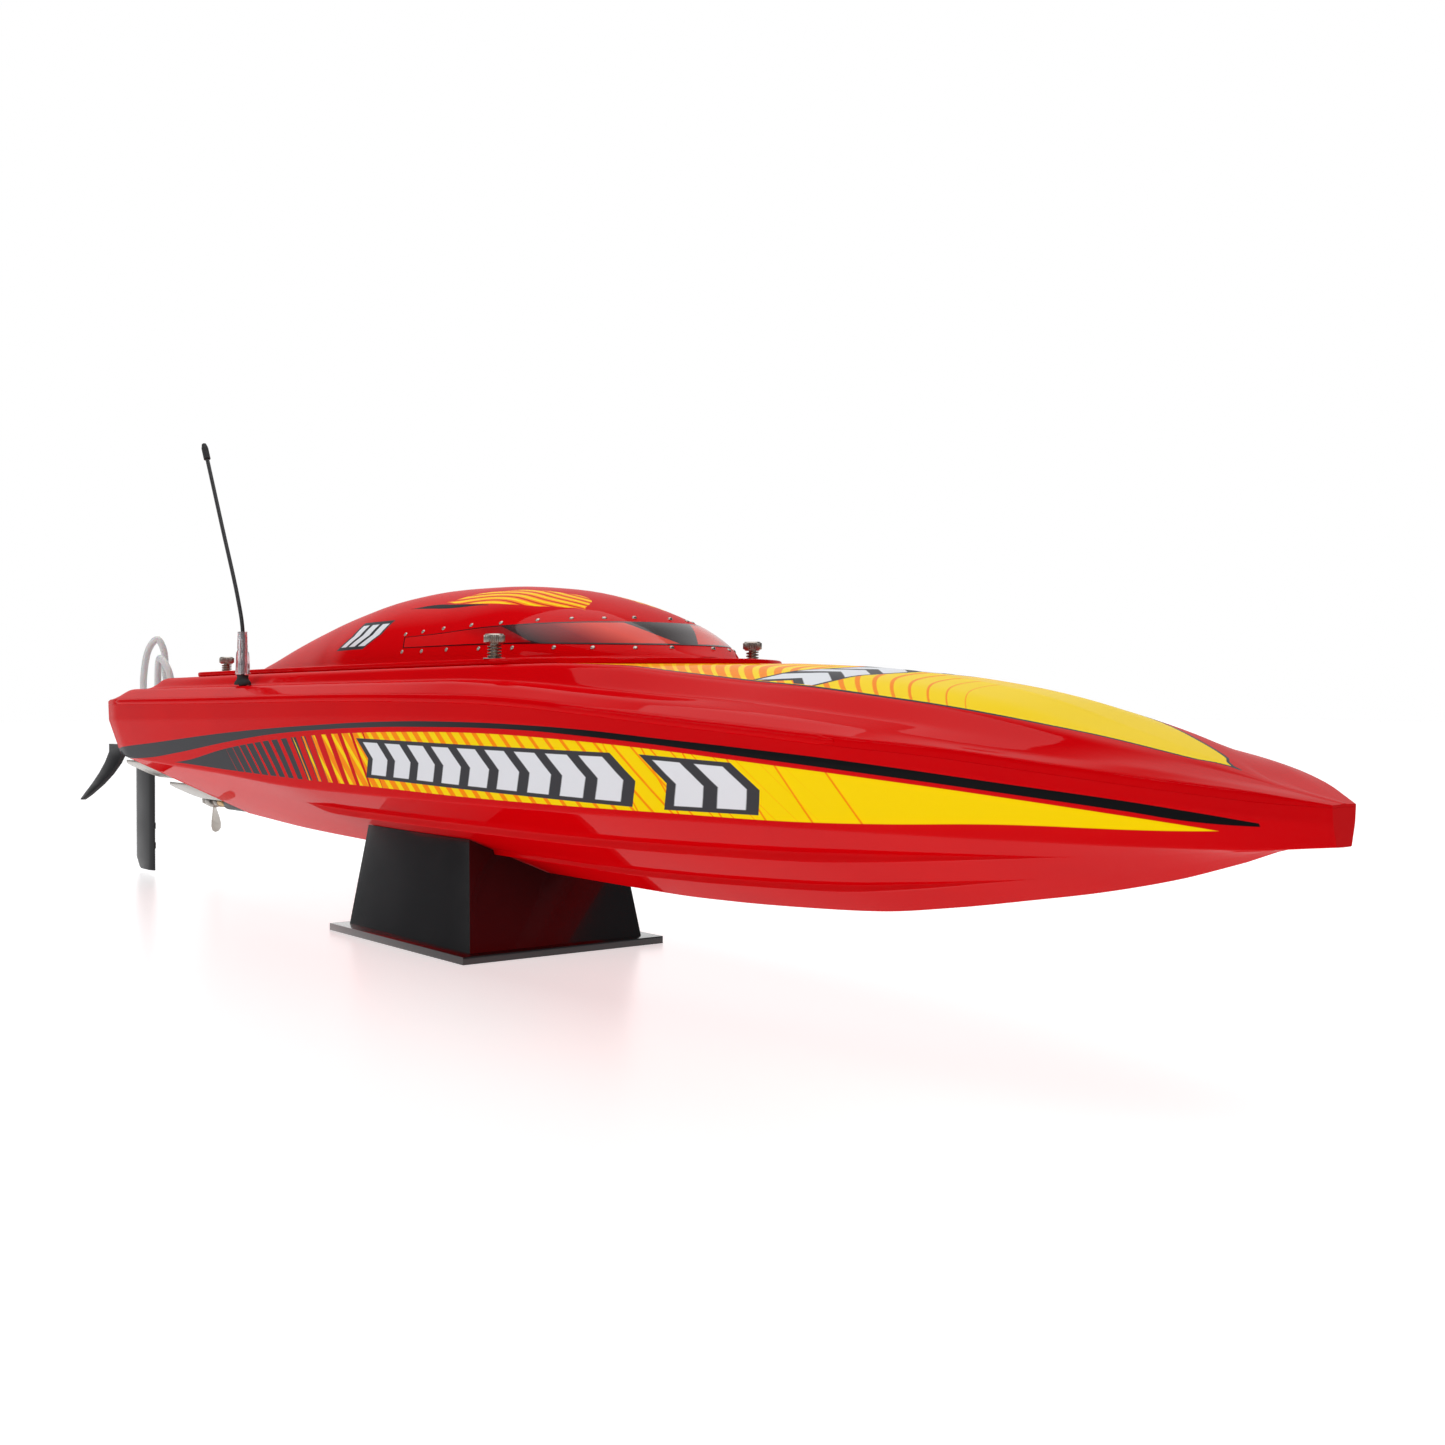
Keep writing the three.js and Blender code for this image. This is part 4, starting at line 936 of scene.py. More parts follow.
@dataclass
class Hull:
    """The hull shell, the deck shell and the rub rails between them."""

    wall: float = 2.2
    pitch: float = 6.0
    rail_start: float = 16.0
    rail_end: float = 765.0
    rail_half_height: float = 2.0
    rail_depth: float = 1.4
    radii: tuple[float, ...] = (0.8, 1.0, 1.0, 0.8, 0.8, 1.0, 1.0, 1.2, 1.2)
    deck_radii: tuple[float, ...] = (0.6, 18.0, 3.2, 2.2, 2.4, 1.2)

    def hull_half(self, x: float) -> list[tuple[float, float]]:
        """Half of the hull's section from the keel up to the sheer."""
        keel, chine_z = KEEL_Z(x), CHINE_Z(x)
        chine_y = max(SHEER_Y(x) - CHINE_INSET(x), 1.5)
        rise = (chine_z - keel) / chine_y
        points = [(0.0, keel)]
        for share, height in STRAKES:
            at = share * chine_y
            drop = min(height(x), rise * chine_y * 0.14)
            inner = at - drop / max(rise, 0.05)
            low = keel + rise * inner
            points += [(inner, low), (at - 0.2, low - 0.02), (at, keel + rise * at)]
        points += [(chine_y, chine_z), (max(SHEER_Y(x) - 0.4, chine_y + 0.2), SHEER_Z(x) - KNUCKLE_DROP(x)),
                   (SHEER_Y(x), SHEER_Z(x))]
        return points

    def hull_inner_half(self, x: float) -> list[tuple[float, float]]:
        """Half of the section of the hull's inner skin."""
        chine_y = max(SHEER_Y(x) - CHINE_INSET(x) - self.wall, 0.4)
        side = max(SHEER_Y(x) - self.wall, chine_y + 0.2)
        keel = KEEL_Z(x) + 1.25 * self.wall
        chine_z = max(CHINE_Z(x) + 0.35 * self.wall, keel + 0.1)
        return [(0.0, keel), (chine_y, chine_z), (side, SHEER_Z(x) - KNUCKLE_DROP(x)), (side, SHEER_Z(x))]

    def deck_inner_half(self, x: float) -> list[tuple[float, float]]:
        """Half of the section of the deck's inner skin."""
        low = SHEER_Z(x) + 0.05
        points = []
        for y, z in self.deck_half(x)[:-2]:
            depth = min(self.wall, 0.5 * max(z - low, 0.0))
            points.append((y * max(0.2, 1 - self.wall / max(SHEER_Y(x), 4.0)), z - depth))
        side = max(SHEER_Y(x) - self.wall, points[-1][0] + 0.1)
        return [*points, (side, min(low + 0.8, points[-1][1])), (side, low)]

    def deck_half(self, x: float) -> list[tuple[float, float]]:
        """Half of the deck's section from the middle out to the sheer."""
        tier_y, tier_z = TIER_Y(x), TIER_Z(x)
        step_y = max(SHEER_Y(x) - STEP_INSET(x), tier_y + 0.3)
        edge_y = max(SHEER_Y(x) - EDGE_INSET(x), step_y + 0.3)
        side = max(SHEER_Y(x), edge_y + 0.3)
        crown = CROWN_Z(x)
        return [(0.0, crown), (tier_y * 0.6, crown - (crown - tier_z) * 0.3), (tier_y, tier_z),
                (step_y, STEP_Z(x)), (edge_y, EDGE_Z(x)),
                (side, min(SHEER_Z(x) + 3.6, EDGE_Z(x) - 0.1)), (side, SHEER_Z(x) + 0.05)]

    def skins(self, outer: Callable, inner: Callable, radii: Sequence[float]) -> bpy.types.Mesh:
        """The shell between two skins.

        Args:
            outer: gives half of the outer skin's section at a place.
            inner: the same for the inner skin.
            radii: easing of the outer corners, from the middle outwards.
        Returns:
            The closed shell.
        """
        places = stations(STERN_X, BOW_X, self.pitch)
        inside = [min(max(x, STERN_X + 4.0), BOW_X - 3.0) for x in places]
        eased = (*reversed(radii[1:]), *radii)
        return shell([(x, rounded(both_sides(outer(x)), eased)) for x in places],
                     [(x, both_sides(inner(x))) for x in inside])

    def build(self) -> None:
        """Makes the shells and the rails."""
        hull = stand_in("hull", self.skins(self.hull_half, self.hull_inner_half, self.radii))
        Piece("hull_shell_gelcoat", "boat", hull_finish(), "red_gelcoat", ("hull_shell",)).place(hull, 35)
        coat, rail_coat = deck_finish(), canopy_finish()
        deck = stand_in("deck", self.skins(self.deck_half, self.deck_inner_half, self.deck_radii))
        self.open_hatchway(deck)
        Piece("deck_shell_gelcoat", "boat", coat, "red_gelcoat", ("deck_shell",)).place(deck, 35)
        for side, name in ((1, "port"), (-1, "starboard")):
            rail = stand_in("rail", self.rail(side).mesh("rail"))
            nodes = (f"rub_rail_{name}",)
            Piece(f"rub_rail_strip_{name}", "boat", rail_coat, "red_gelcoat", nodes).place(rail, 40)

    def open_hatchway(self, deck: bpy.types.Object) -> None:
        """Cuts the opening under the canopy hatch."""
        half = [(80, 42), (104, 54), (200, 60), (450, 60), (520, 38), (540, 20)]
        outline = half + [(x, -y) for x, y in reversed(half)]
        tool = stand_in("tool", Shape().prism(outline, "xy", 120, 175, 0).mesh("tool"))
        apply(deck, "BOOLEAN", operation="DIFFERENCE", object=tool, solver="EXACT")
        bpy.data.objects.remove(tool)

    def rail(self, side: int) -> Shape:
        """One rub rail, a half-round strip along the sheer."""
        rings = []
        for x in stations(self.rail_start, self.rail_end, 7.0):
            ease = min(1.0, (x - self.rail_start + 1.5) / 6, (self.rail_end - x + 1.5) / 6)
            ring = []
            for c, s in circle(16):
                out = SHEER_Y(x) + self.rail_depth * max(-0.1, c) * ease
                ring.append((x, side * out, SHEER_Z(x) + 1.8 + self.rail_half_height * s * ease))
            rings.append(ring)
        return Shape().loft(rings)


def arch(width: float, height: float, base: float, turn: float) -> tuple[float, float]:
    """A point (y, z) of the canopy's arched section, turned from the crown down to the foot."""
    return width * math.sin(turn) ** ARCH_SIDE, base + height * abs(math.cos(turn)) ** ARCH_CROWN


@dataclass
class Canopy:
    """The lift-off canopy hatch: flange, canopy, window band, rivets and its spring-loaded thumb screws."""

    shop: Workshop
    wall: float = 2.8
    pitch: float = 3.0
    arc_steps: int = 26
    foot: float = 1.4
    window_tail: float = 378.0
    window_rows: int = 9
    window_columns: int = 150
    head_radius: float = 5.0
    spring_gap: float = 7.2
    ridges: int = 34
    threads: int = 9
    coil_turns: float = 4.5
    coil_radius: float = 3.1
    coil_steps: int = 20
    screws: tuple[tuple[str, float, float], ...] = (
        ("fore_starboard", 509.0, -81.0), ("fore_port", 509.0, 81.0),
        ("aft_starboard", 58.0, -47.0), ("aft_port", 58.0, 47.0))
    rivet_spots: tuple[Point, ...] = (
        (377, -63.6, 177.3), (397, -62.7, 178.1), (419, -61.4, 179.1), (446, -59.3, 179.9),
        (475, -55, 180.3), (502.5, -47.6, 181), (524, -38.1, 181.4), (537, -25.6, 181.5),
        (543, -10.7, 181.6), (382, -68.3, 167.2), (405.6, -67.9, 167), (434, -67.1, 167),
        (464.6, -65.1, 166.8), (497, -61.3, 166.5), (529.6, -54.5, 166), (554, -43.8, 165.7),
        (569.6, -28.9, 165.5), (576.4, -12.7, 165.4))

    def side_at(self, x: float, z: float) -> Optional[float]:
        """Half width of the canopy at a place and height, or None above it."""
        share = (z - CANOPY_BASE_Z) / (CANOPY_Z(x) - CANOPY_BASE_Z)
        if share >= 1:
            return None
        turn = math.acos(max(0.0, share) ** (1 / ARCH_CROWN))
        return CANOPY_Y(x) * math.sin(turn) ** ARCH_SIDE

    def build(self) -> None:
        """Makes the hatch and all that is fixed to it."""
        coat = canopy_finish()
        places = stations(CANOPY_TAIL_X, CANOPY_NOSE_X, self.pitch)
        inside = [min(max(x, CANOPY_TAIL_X + self.wall), CANOPY_NOSE_X - self.wall) for x in places]
        dome = shell([(x, both_sides(self.half(x))) for x in places],
                     [(x, both_sides(self.inner_half(x))) for x in inside])
        around = stations(FLANGE_TAIL_X, FLANGE_NOSE_X, 7.0)
        outline = [(x, FLANGE_Y(x)) for x in around] + [(x, -FLANGE_Y(x)) for x in reversed(around)]
        flange = Shape().prism(outline, "xy", FLANGE_Z, CANOPY_BASE_Z, 0.9)
        hatch = stand_in("hatch", flange.join(dome).mesh("hatch"))
        Piece("canopy_hatch_shell", "hatch", coat, "red_gelcoat", ("canopy_hatch",)).place(hatch, 32)
        self.window()
        self.rivets()
        for name, x, y in self.screws:
            self.screw(name, x, y)
            self.spring(name, x, y)

    def inner_half(self, x: float) -> list[tuple[float, float]]:
        """Half of the section of the canopy's inner skin."""
        width = max(CANOPY_Y(x) - self.wall, 0.6 * CANOPY_Y(x))
        height = max(CANOPY_Z(x) - CANOPY_BASE_Z - self.wall, 0.3)
        turns = [math.radians(90) * k / self.arc_steps for k in range(self.arc_steps + 1)]
        return [arch(width, height, CANOPY_BASE_Z - GAP, t) for t in turns]

    def half(self, x: float) -> list[tuple[float, float]]:
        """Half of the canopy's section from its crown down to its eased foot."""
        base = CANOPY_BASE_Z
        width, height = CANOPY_Y(x), CANOPY_Z(x) - base
        last = math.radians(20)
        if height > 1.5:
            last = math.acos(min(1.0, self.foot / height) ** (1 / ARCH_CROWN))
        points = [arch(width, height, base, last * k / self.arc_steps) for k in range(self.arc_steps + 1)]
        edge = points[-1][0]
        rest = max(width - edge, 0.0)
        for out, up in ((0.55, 0.85), (0.9, 0.45), (1.0, 0.2)):
            spread = (1 - up) * self.foot
            points.append((edge + rest * out + spread, base + min(self.foot, height) * up * 0.9))
        points.append((width + 2.6, base - 0.25))
        return points

    def window_track(self, low: Line, high: Line, v: float) -> list[Vector]:
        """The starboard half of one level of the window band, from its tail to the nose's middle."""
        track = []
        x = self.window_tail + (1 - v) * 4.0
        while True:
            z = low(x) * (1 - v) + high(x) * v
            y = self.side_at(x, z)
            if y is None:
                track.append(Vector((x, 0.0, z)))
                return even(track, self.window_columns // 2)
            track.append(Vector((x, -y, z)))
            x += 0.5 if y > 25 else 0.1

    def window(self) -> None:
        """The printed band: a thin raised patch that wraps round the front of the canopy."""
        low = line((378, 169.4), (490, 168.6), (562, 167.0), (600, 167.0))
        high = line((378, 175.6), (420, 176.5), (470, 178.7), (526, 179.4), (600, 179.6))
        rows = [self.window_track(low, high, r / (self.window_rows - 1)) for r in range(self.window_rows)]
        grid = [[*row, *[Vector((p.x, -p.y, p.z)) for p in reversed(row[:-1])]] for row in rows]
        length = run_lengths(grid[self.window_rows // 2])
        reach = [min(d, length[-1] - d) for d in length]
        shape = bmesh.new()
        verts = [[shape.verts.new(p) for p in row] for row in grid]
        uv = shape.loops.layers.uv.new("band")
        for r in range(len(grid) - 1):
            for k in range(len(length) - 1):
                corners = ((r, k), (r, k + 1), (r + 1, k + 1), (r + 1, k))
                face = shape.faces.new([verts[i][j] for i, j in corners])
                for loop, (i, j) in zip(face.loops, corners):
                    loop[uv].uv = (reach[j], i / (len(grid) - 1))
        shape.normal_update()
        mesh = bpy.data.meshes.new("window")
        shape.to_mesh(mesh)
        shape.free()
        band = stand_in("window", mesh)
        apply(band, "SOLIDIFY", thickness=1.2, offset=-0.6)
        Piece("window_print", "hatch", window_finish(), "dark_window", ("window_band",)).place(band, 40)

    def reach_at(self, y: float, z: float) -> float:
        """How far forward the canopy reaches at a half width and height."""
        x = 470.0
        while (self.side_at(x + 0.2, z) or 0.0) > abs(y):
            x += 0.2
        return x

    def normal_at(self, x: float, z: float) -> Vector:
        """Outward direction of the starboard side of the canopy."""
        y = self.side_at(x, z) or 0.0
        ahead = self.side_at(x + 1, z)
        up = self.side_at(x, z + 1)
        along = Vector((1, -(ahead - y), 0)) if ahead is not None else Vector((1, 0, 0))
        rise = Vector((0, -(up - y), 1)) if up is not None else Vector((0, 0, 1))
        return along.cross(rise).normalized()

    def rivets(self) -> None:
        """A row of small domed rivets above and below the window band."""
        spots = []
        for x, y, z in self.rivet_spots:
            x = min(x, self.reach_at(y, z))
            side = self.side_at(x, z)
            surface = -side if side is not None else y
            out = self.normal_at(x, z) if side is not None else Vector((1, 0, 0))
            for mirror in (1, -1):
                facing = Vector((out.x, out.y * mirror, out.z))
                turn = facing.to_track_quat("Z", "Y").to_euler()
                spots.append(((x, surface * mirror, z), tuple(turn)))
        profile = [(0, -0.8), (1.25, -0.8), (1.25, 0.15), (1.05, 0.4), (0.6, 0.58), (0, 0.62)]
        unit = Shape().turned(profile, Axis.Z, (0, 0, 0), 20)
        self.shop.scatter("window_rivets", "hatch", unit, spots, Stock.STEEL)

    def screw(self, name: str, x: float, y: float) -> None:
        """One knurled socket screw."""
        base, head = CANOPY_BASE_Z, CANOPY_BASE_Z + self.spring_gap
        r = self.head_radius
        shape = Shape().turned(
            [(0, head), (r - 1.2, head), (r - 0.6, head + 0.5), (r - 0.15, head + 0.9),
             (r - 0.15, head + 4.3), (r - 0.7, head + 5), (2.5, head + 5), (2.2, head + 4.8),
             (2.2, head + 2.2), (0, head + 1.9)], Axis.Z, (x, y, 0), 60)
        shape.rod(2.1, base - 12, head + 0.4, Axis.Z, (x, y, 0), 32)
        for k in range(self.threads):
            z = base - 11 + k * 1.6
            shape.turned([(2.0, z - 0.5), (2.28, z), (2.0, z + 0.5)], Axis.Z, (x, y, 0), 24)
        spots = []
        for k in range(self.ridges):
            turn = 2 * math.pi * k / self.ridges
            spot = (x + (r - 0.12) * math.cos(turn), y + (r - 0.12) * math.sin(turn), head + 2.6)
            spots.append((spot, (0.0, 0.0, turn + math.pi / 4)))
        tooth = Shape().box((-0.26, 0.26), (-0.26, 0.26), (-1.7, 1.7), 0.08)
        shape.join(self.shop.repeat(tooth, spots, Stock.STEEL))
        self.shop.make(f"socket_screw_{name}", f"screw_{name}", shape, Stock.STEEL,
                       f"thumb_screw_{name}", crease=28)

    def spring(self, name: str, x: float, y: float) -> None:
        """The coil spring under a screw's head and the washer under the spring."""
        base = CANOPY_BASE_Z
        height, low = self.spring_gap - 1.5, base + 0.75
        count = self.coil_turns * self.coil_steps
        coil = []
        for k in range(round(count) + 1):
            share = k / count
            rise = min(1.0, max(0.0, (share - 0.09) / 0.82))
            turn = share * self.coil_turns * 2 * math.pi
            across, out = self.coil_radius * math.cos(turn), self.coil_radius * math.sin(turn)
            coil.append((x + across, y + out, low + height * rise))
        wire = Shape().tube(coil, 0.45, 10, 2)
        self.shop.make(f"coil_spring_{name}", "hatch", wire, Stock.DARK_STEEL, f"screw_spring_{name}",
                       crease=60)
        washer = Shape().turned([(2.5, base - 0.1), (5.6, base - 0.1), (5.6, base + 0.25),
                                 (5.3, base + 0.4), (2.5, base + 0.4)], Axis.Z, (x, y, 0), 48)
        self.shop.make(f"screw_washer_{name}", "hatch", washer, Stock.STEEL)


@dataclass
class Antenna:
    """The receiver's whip antenna in its gland and clear sleeve."""

    shop: Workshop
    at: Point = (238.0, -104.0, 149.7)

    def build(self) -> None:
        """Makes the four parts."""
        x, y, z = self.at
        gland = Shape().turned([(1.6, -7), (2.3, -7), (2.3, 0.3), (5, 0.3), (5, 1.6), (4.5, 2.6), (3.9, 3.4),
                                (3.4, 4.4), (3.4, 5.4), (3.6, 6.4), (1.6, 6.4)], Axis.Z, self.at, 48)
        self.shop.make("gland_seal", "boat", gland, Stock.RUBBER, "antenna_gland")
        sleeve = Shape().turned([(1.9, 6.8), (4.2, 6.8), (4.4, 7.2), (3.9, 20), (3.2, 21.2), (2.9, 33),
                                 (1.9, 33)], Axis.Z, self.at, 48)
        self.shop.make("sleeve_clear", "boat", sleeve, Stock.SLEEVE, "antenna_sleeve")
        path = [(x, y, z - 7), (x, y, z + 14), (x, y, z + 35), (x - 5, y - 1, z + 54),
                (x - 26, y - 3, z + 100), (x - 46, y - 5, z + 144)]
        whip = Shape().tube(path, 1.2, 18, 14)
        self.shop.make("whip_wire", "boat", whip, Stock.BLACK_SATIN, "antenna_whip", crease=60)
        way = Vector((-20, -2, 44)).normalized()
        start = Vector(path[-1])
        tip = [tuple(start + way * d) for d in (0.4, 4, 8, 11.2)]
        cap = Shape().tube(tip, 2.1, 24, 6, lambda t: 1 - 0.35 * max(0.0, t - 0.7) / 0.3)
        self.shop.make("whip_cap", "boat", cap, Stock.RUBBER, "antenna_cap", crease=45)


Fitting = tuple[str, str, Stock, float]

STEERING: tuple[Fitting, ...] = (
    ("rudder_tiller", "rudder", Stock.ALLOY, 0.5), ("tiller_nut", "rudder", Stock.STEEL, 0.3),
    ("rudder_bracket", "boat", Stock.BLACK_ALLOY, 0.6), ("rudder_pushrod", "pushrod", Stock.STEEL, 0.0),
    ("servo_horn", "steering_horn", Stock.BLACK_SATIN, 0.4),
    ("steering_servo", "boat", Stock.BLACK_SATIN, 0.8), ("servo_mount", "boat", Stock.ALLOY, 0.5))
DRIVE: tuple[Fitting, ...] = (
    ("propeller_strut", "boat", Stock.BLACK_ALLOY, 0.6), ("strut_bushing", "boat", Stock.BRASS, 0.2),
    ("propeller_shaft", "drive_shaft", Stock.STEEL, 0.2), ("propeller", "drive_shaft", Stock.STEEL, 0.12),
    ("propeller_nut", "drive_shaft", Stock.STEEL, 0.4))
INTERIOR_AND_STAND: tuple[Fitting, ...] = (
    ("stuffing_tube", "boat", Stock.BRASS, 0.0), ("flex_shaft", "boat", Stock.STEEL, 0.0),
    ("shaft_coupler", "motor_rotor", Stock.ALLOY, 0.4), ("motor", "boat", Stock.BLACK_ALLOY, 0.8),
    ("water_jacket", "boat", Stock.ALLOY, 0.4), ("motor_mount", "boat", Stock.ALLOY, 0.5),
    ("speed_controller", "boat", Stock.BLACK_SATIN, 1.5), ("receiver_box", "boat", Stock.BLACK_SATIN, 1.2),
    ("battery_port", "boat", Stock.WRAP, 2.0), ("battery_starboard", "boat", Stock.WRAP, 2.0),
    ("battery_tray", "boat", Stock.BLACK_SATIN, 0.6), ("flotation_block", "boat", Stock.FOAM, 2.0),
    ("display_stand", "stand", Stock.BLACK_GLOSS, 1.1))


@dataclass
class SternGear:
    """Everything outside the transom: steering, cooling, fins, tabs and the drive."""

    shop: Workshop
    frame: "Frame"
    hose_radius: float = 2.7
    hoses: tuple[tuple[str, str, tuple[Point, ...]], ...] = (
        ("hose_tall", "cooling_hose_tall", (
            (-112, -46.4, 109.2), (-117, -49.4, 132), (-119, -50, 160), (-117, -46, 184),
            (-112, -41, 191), (-109, -37, 182), (-107, -36, 160), (-100, -33, 140), (-80, -22, 128),
            (-58, -8, 121), (-46, -2, 120), (-32.4, -2, 120))),
        ("hose_low", "cooling_hose_low", (
            (-101, -44, 108.8), (-101, -43.5, 130), (-98, -45.5, 156), (-88, -47, 175), (-78, -44, 166),
            (-72, -40, 146), (-62, -30, 132), (-50, -18, 122), (-43, -14, 120), (-32.4, -14, 120))))

    def build(self) -> None:
        """Makes the gear."""
        refine = self.frame.refine
        self.blade()
        self.frame.refine_all(STEERING)
        boot = Shape().turned([(1.6, -45), (3.6, -45), (3.8, -43), (5.2, -41.5), (4, -39.5), (5.8, -37.5),
                               (4.4, -35.5), (6.4, -33), (4.8, -31), (7, -28), (5.6, -26), (7, -22),
                               (7, -19.3), (1.6, -19.3)], Axis.X, (0, PUSHROD_Y, PUSHROD_Z), 40)
        self.shop.make("pushrod_bellows", "boat", boot, Stock.RUBBER, "pushrod_boot", crease=60)
        for name, node, points in self.hoses:
            hose = Shape().tube(points, self.hose_radius, 24, 12)
            self.shop.make(name, "boat", hose, Stock.SILICONE, node, crease=60)
        for node in ("water_inlet_1", "water_inlet_2", "water_outlet"):
            refine(node, "boat", Stock.ALLOY, 0.3)
        for side in ("port", "starboard"):
            refine(f"turn_fin_{side}", "boat", Stock.BLACK_ALLOY, 0.5)
            for row in ("outer", "inner"):
                refine(f"trim_tab_{row}_{side}", f"tab_{row}_{side}", Stock.STEEL, 0.3)
                refine(f"trim_tab_hinge_{row}_{side}", "boat", Stock.ALLOY, 0.3)
        self.frame.refine_all(DRIVE)
        self.bolts()

    def blade(self) -> None:
        """The rudder blade: a thin wedge on a round post, with two black boxes in its leading edge that
        paint the shade inside the water pickup openings.
        """
        fore, aft, half = RUDDER_X + 14.0, RUDDER_X - 30.0, 2.6
        rings = []
        for z, cut in ((3.0, 9.0), (4.0, 7.5), (11.0, 0.5), (12.0, 0.0), (50.0, 0.0), (86.5, 0.0),
                       (87.5, 0.6)):
            back = aft + cut
            foil = [(fore, 0.0), (fore - 1.5, 1.1), (fore - 7, half), (back + 9, half), (back, 0.7),
                    (back, -0.7), (back + 9, -half), (fore - 7, -half), (fore - 1.5, -1.1)]
            rings.append([(x, RUDDER_Y + y, z) for x, y in foil])
        shape = Shape().loft(rings, 0.25)
        shape.rod(3.0, 85.0, 117.6, Axis.Z, (RUDDER_X, RUDDER_Y, 0), 32)
        self.shop.make("rudder_fin", "rudder", shape, Stock.BLACK_ALLOY, "rudder_blade", crease=28)
        # Painted shade: black rubber-finished boxes stand in for the dark insides of the two water pickup
        # openings.
        pickup_shade = Shape()
        for z in (21.0, 37.0):
            pickup_shade.box((fore - 5.5, fore + 0.3), (RUDDER_Y - 1.0, RUDDER_Y + 1.0), (z, z + 5.0), 0.2)
        self.shop.make("rudder_pickups", "rudder", pickup_shade, Stock.RUBBER)

    def bolts(self) -> None:
        """The socket screws that hold the fittings to the transom."""
        spots: list[Point] = []
        for side in (1, -1):
            spots += [(-23.6, side * 90, z) for z in (107, 113.5, 120)]
            spots += [(-23.0, side * 10.0, z) for z in (68, 92)]
            for y in (60, 69, 78, 22, 31, 40):
                spots.append((-21.2, side * y, 52.5 + y / 99 * 48.5 + 7.0))
        spots += [(-23.3, -51.5, z) for z in (94, 116)]
        profile = [(0, -1.5), (1.9, -1.5), (1.9, 1.3), (1.6, 1.6), (0.95, 1.6), (0.95, 0.6), (0, 0.5)]
        unit = Shape().turned(profile, Axis.Z, (0, 0, 0), 24)
        placed = [(spot, (0.0, -math.pi / 2, 0.0)) for spot in spots]
        self.shop.scatter("transom_screws", "boat", unit, placed, Stock.STEEL)


@dataclass
class Frame:
    """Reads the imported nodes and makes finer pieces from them."""

    shop: Workshop
    nodes: dict[str, bpy.types.Object]

    def refine(self, node: str, body: str, kind: Stock, bevel: float,
               crease: float = 32.0) -> bpy.types.Object:
        """A copy of a node with eased edges that stands for it.

        Args:
            node: the node's name.
            body: the body that it rides.
            kind: its finish.
            bevel: radius of the eased edges in millimetres.
            crease: sharper angles than this stay crisp.
        Returns:
            The finished piece.
        """
        back = Matrix.Scale(1000.0, 4) @ Matrix.Translation((-FRAME_SHIFT_X * MM, 0, 0))
        work = bmesh.new()
        work.from_mesh(self.nodes[node].data)
        work.transform(back)
        bmesh.ops.remove_doubles(work, verts=work.verts, dist=0.004)
        bmesh.ops.dissolve_limit(work, angle_limit=math.radians(1.5), verts=work.verts, edges=work.edges)
        mesh = bpy.data.meshes.new(node)
        work.to_mesh(mesh)
        work.free()
        obj = stand_in(node, mesh)
        if bevel > 0:
            apply(obj, "BEVEL", width=bevel, segments=3, limit_method="ANGLE",
                  angle_limit=math.radians(32), use_clamp_overlap=True, harden_normals=False)
        piece = Piece(f"{node}_finish", body, self.shop.stock(kind), kind.value.slot, (node,))
        return piece.place(obj, crease)

    def refine_all(self, fittings: Iterable[Fitting]) -> None:
        """Finishes each fitting of a table."""
        for node, body, kind, bevel in fittings:
            self.refine(node, body, kind, bevel)


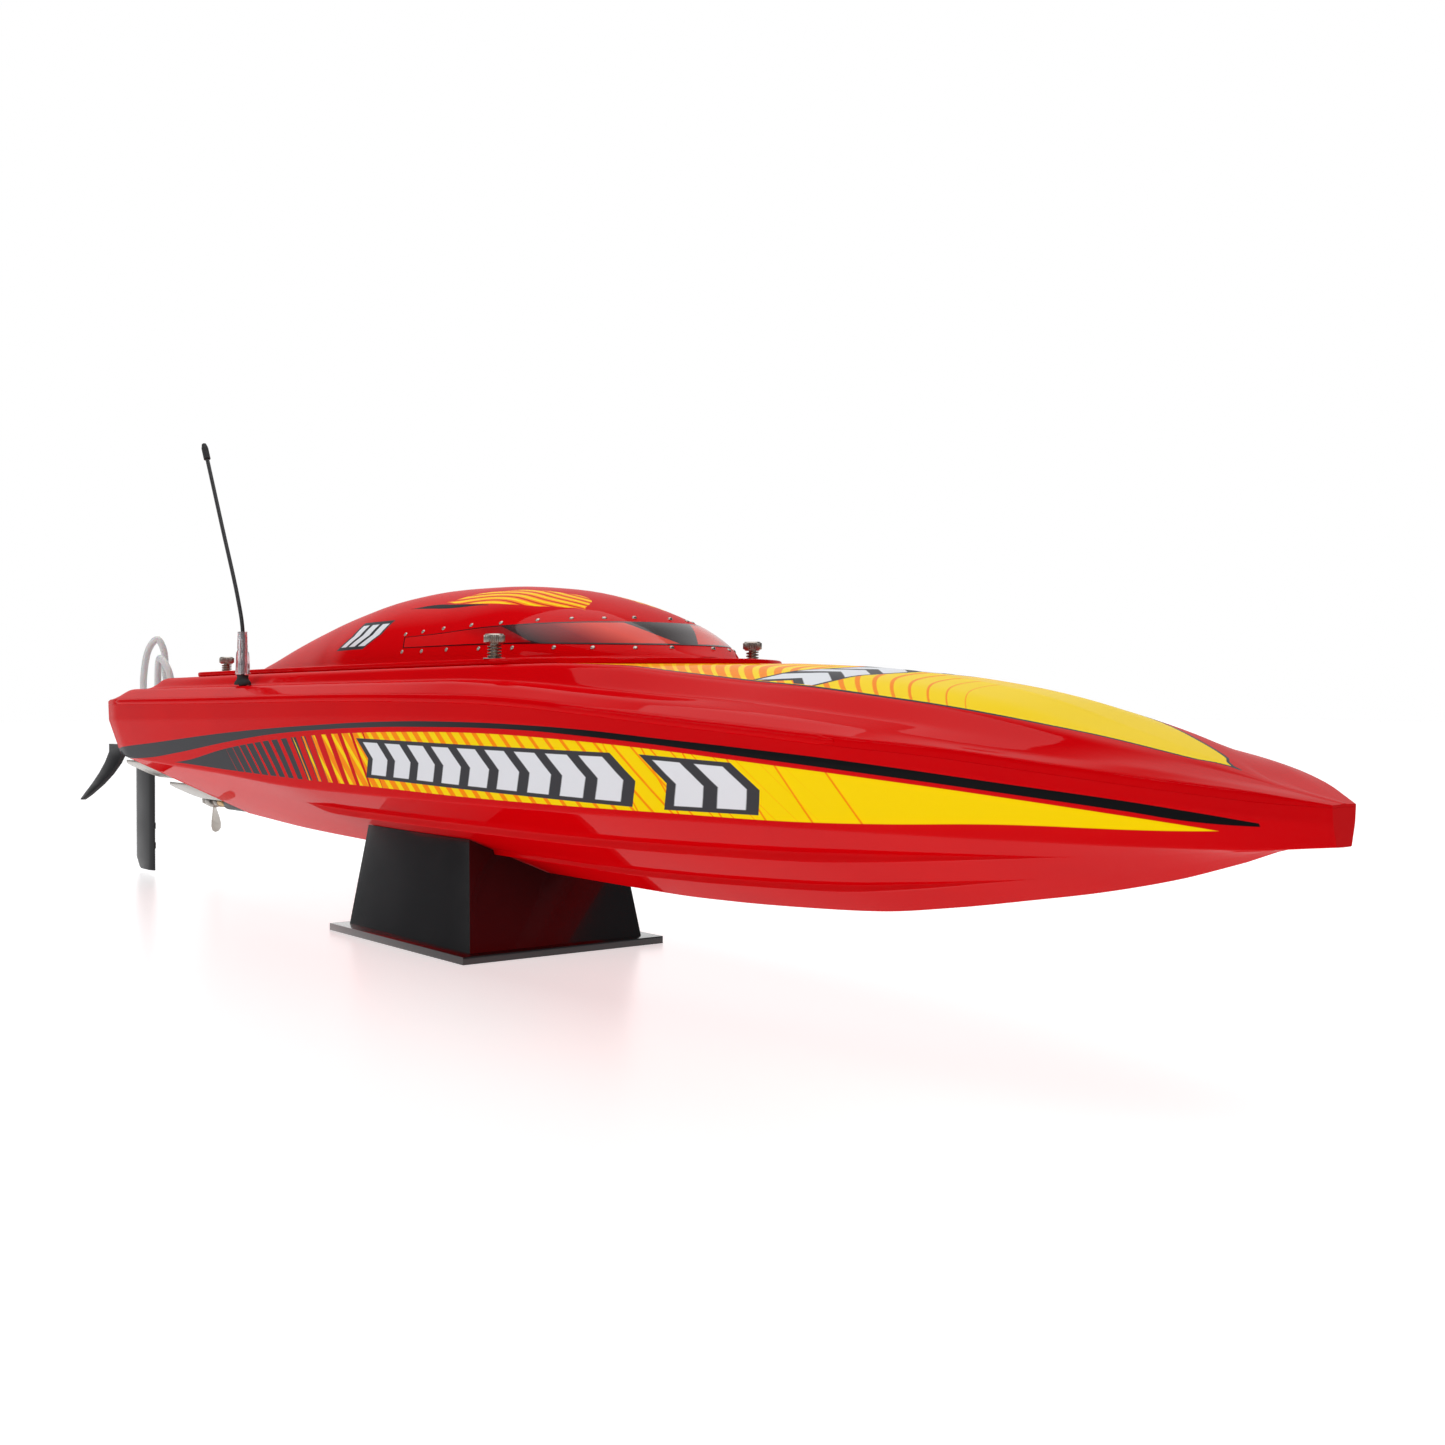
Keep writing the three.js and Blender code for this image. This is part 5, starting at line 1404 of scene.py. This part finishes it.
@dataclass
class Studio:
    """Camera, lights and the pale floor."""

    eye: Point = (0.815785, -0.471246, 0.137643)
    yaw: float = 52.37
    pitch: float = 0.627
    lens: float = 39.83
    sensor: float = 36.0
    floor_half: float = 12.0
    dim: Colour = (0.09, 0.092, 0.096)
    bright: Colour = (1.0, 1.0, 1.0)

    def build(self) -> None:
        """Sets the stage."""
        data = bpy.data.cameras.new("camera")
        data.lens, data.sensor_width = self.lens, self.sensor
        data.clip_start = 0.01
        camera = bpy.data.objects.new("camera", data)
        camera.location = self.eye
        camera.rotation_euler = (math.radians(90 - self.pitch), 0.0, math.radians(self.yaw))
        bpy.context.scene.collection.objects.link(camera)
        bpy.context.scene.camera = camera
        self.light("overhead", (-0.1, 0.1, 1.6), (-0.1, 0.1, 0.0), (2.6, 1.8), 26.0)
        self.light("front", (1.6, -1.3, 1.1), (0.1, 0.0, 0.1), (0.9, 0.7), 7.0)
        self.light("side", (-0.7, -1.9, 0.9), (-0.1, 0.0, 0.1), (1.6, 0.8), 9.0)
        self.world()
        self.floor()

    def light(self, name: str, at: Point, target: Point, size: tuple[float, float], power: float) -> None:
        """One rectangular soft light aimed at a target."""
        data = bpy.data.lights.new(name, "AREA")
        data.shape = "RECTANGLE"
        data.size, data.size_y = size
        data.energy = power
        obj = bpy.data.objects.new(name, data)
        obj.location = at
        obj.rotation_euler = (Vector(target) - Vector(at)).to_track_quat("-Z", "Y").to_euler()
        bpy.context.scene.collection.objects.link(obj)

    def world(self) -> None:
        """A white backdrop behind the boat in a dim grey room."""
        g = Graph("room", world=True)
        heading = math.radians(self.yaw)
        way = g.node("ShaderNodeTexCoord").outputs["Generated"]
        ahead = (-math.sin(heading), math.cos(heading), 0.0)
        facing = g.node("ShaderNodeVectorMath", {0: way, 1: ahead}, operation="DOT_PRODUCT")
        spread = g.node("ShaderNodeMapRange", {"Value": facing.outputs["Value"], "From Min": 0.66,
                                               "From Max": 0.82})
        backdrop = g.mix(Value(g, spread.outputs[0]), self.dim, self.bright)
        bpy.context.scene.world = g.paint(color=backdrop, strength=1.0)
        bpy.context.scene.view_settings.view_transform = "Standard"

    def floor(self) -> None:
        """A wide pale floor with a faint sheen."""
        g = Graph("floor")
        tone = g.mix(g.noise(3.0, 2.0), (0.50, 0.50, 0.51), (0.54, 0.54, 0.545))
        material = g.paint(base_color=tone, roughness=0.28, specular_ior_level=0.35,
                           emission_color=(1.0, 1.0, 1.0), emission_strength=0.62)
        mesh = bpy.data.meshes.new("floor")
        half = self.floor_half
        corners = [(-half, -half, 0), (half, -half, 0), (half, half, 0), (-half, half, 0)]
        mesh.from_pydata(corners, [], [(0, 1, 2, 3)])
        floor = stand_in("studio_floor", mesh)
        floor.data.materials.append(material)


def main() -> None:
    """Builds every sub-assembly in order."""
    logging.basicConfig(level=logging.INFO, format="%(message)s")
    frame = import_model()
    shop = Workshop()
    nodes = Frame(shop, frame["nodes"])
    Hull().build()
    log.info("hull and deck made")
    Canopy(shop).build()
    Antenna(shop).build()
    log.info("canopy and antenna made")
    SternGear(shop, nodes).build()
    nodes.refine_all(INTERIOR_AND_STAND)
    Studio().build()


if __name__ == "__main__":
    main()
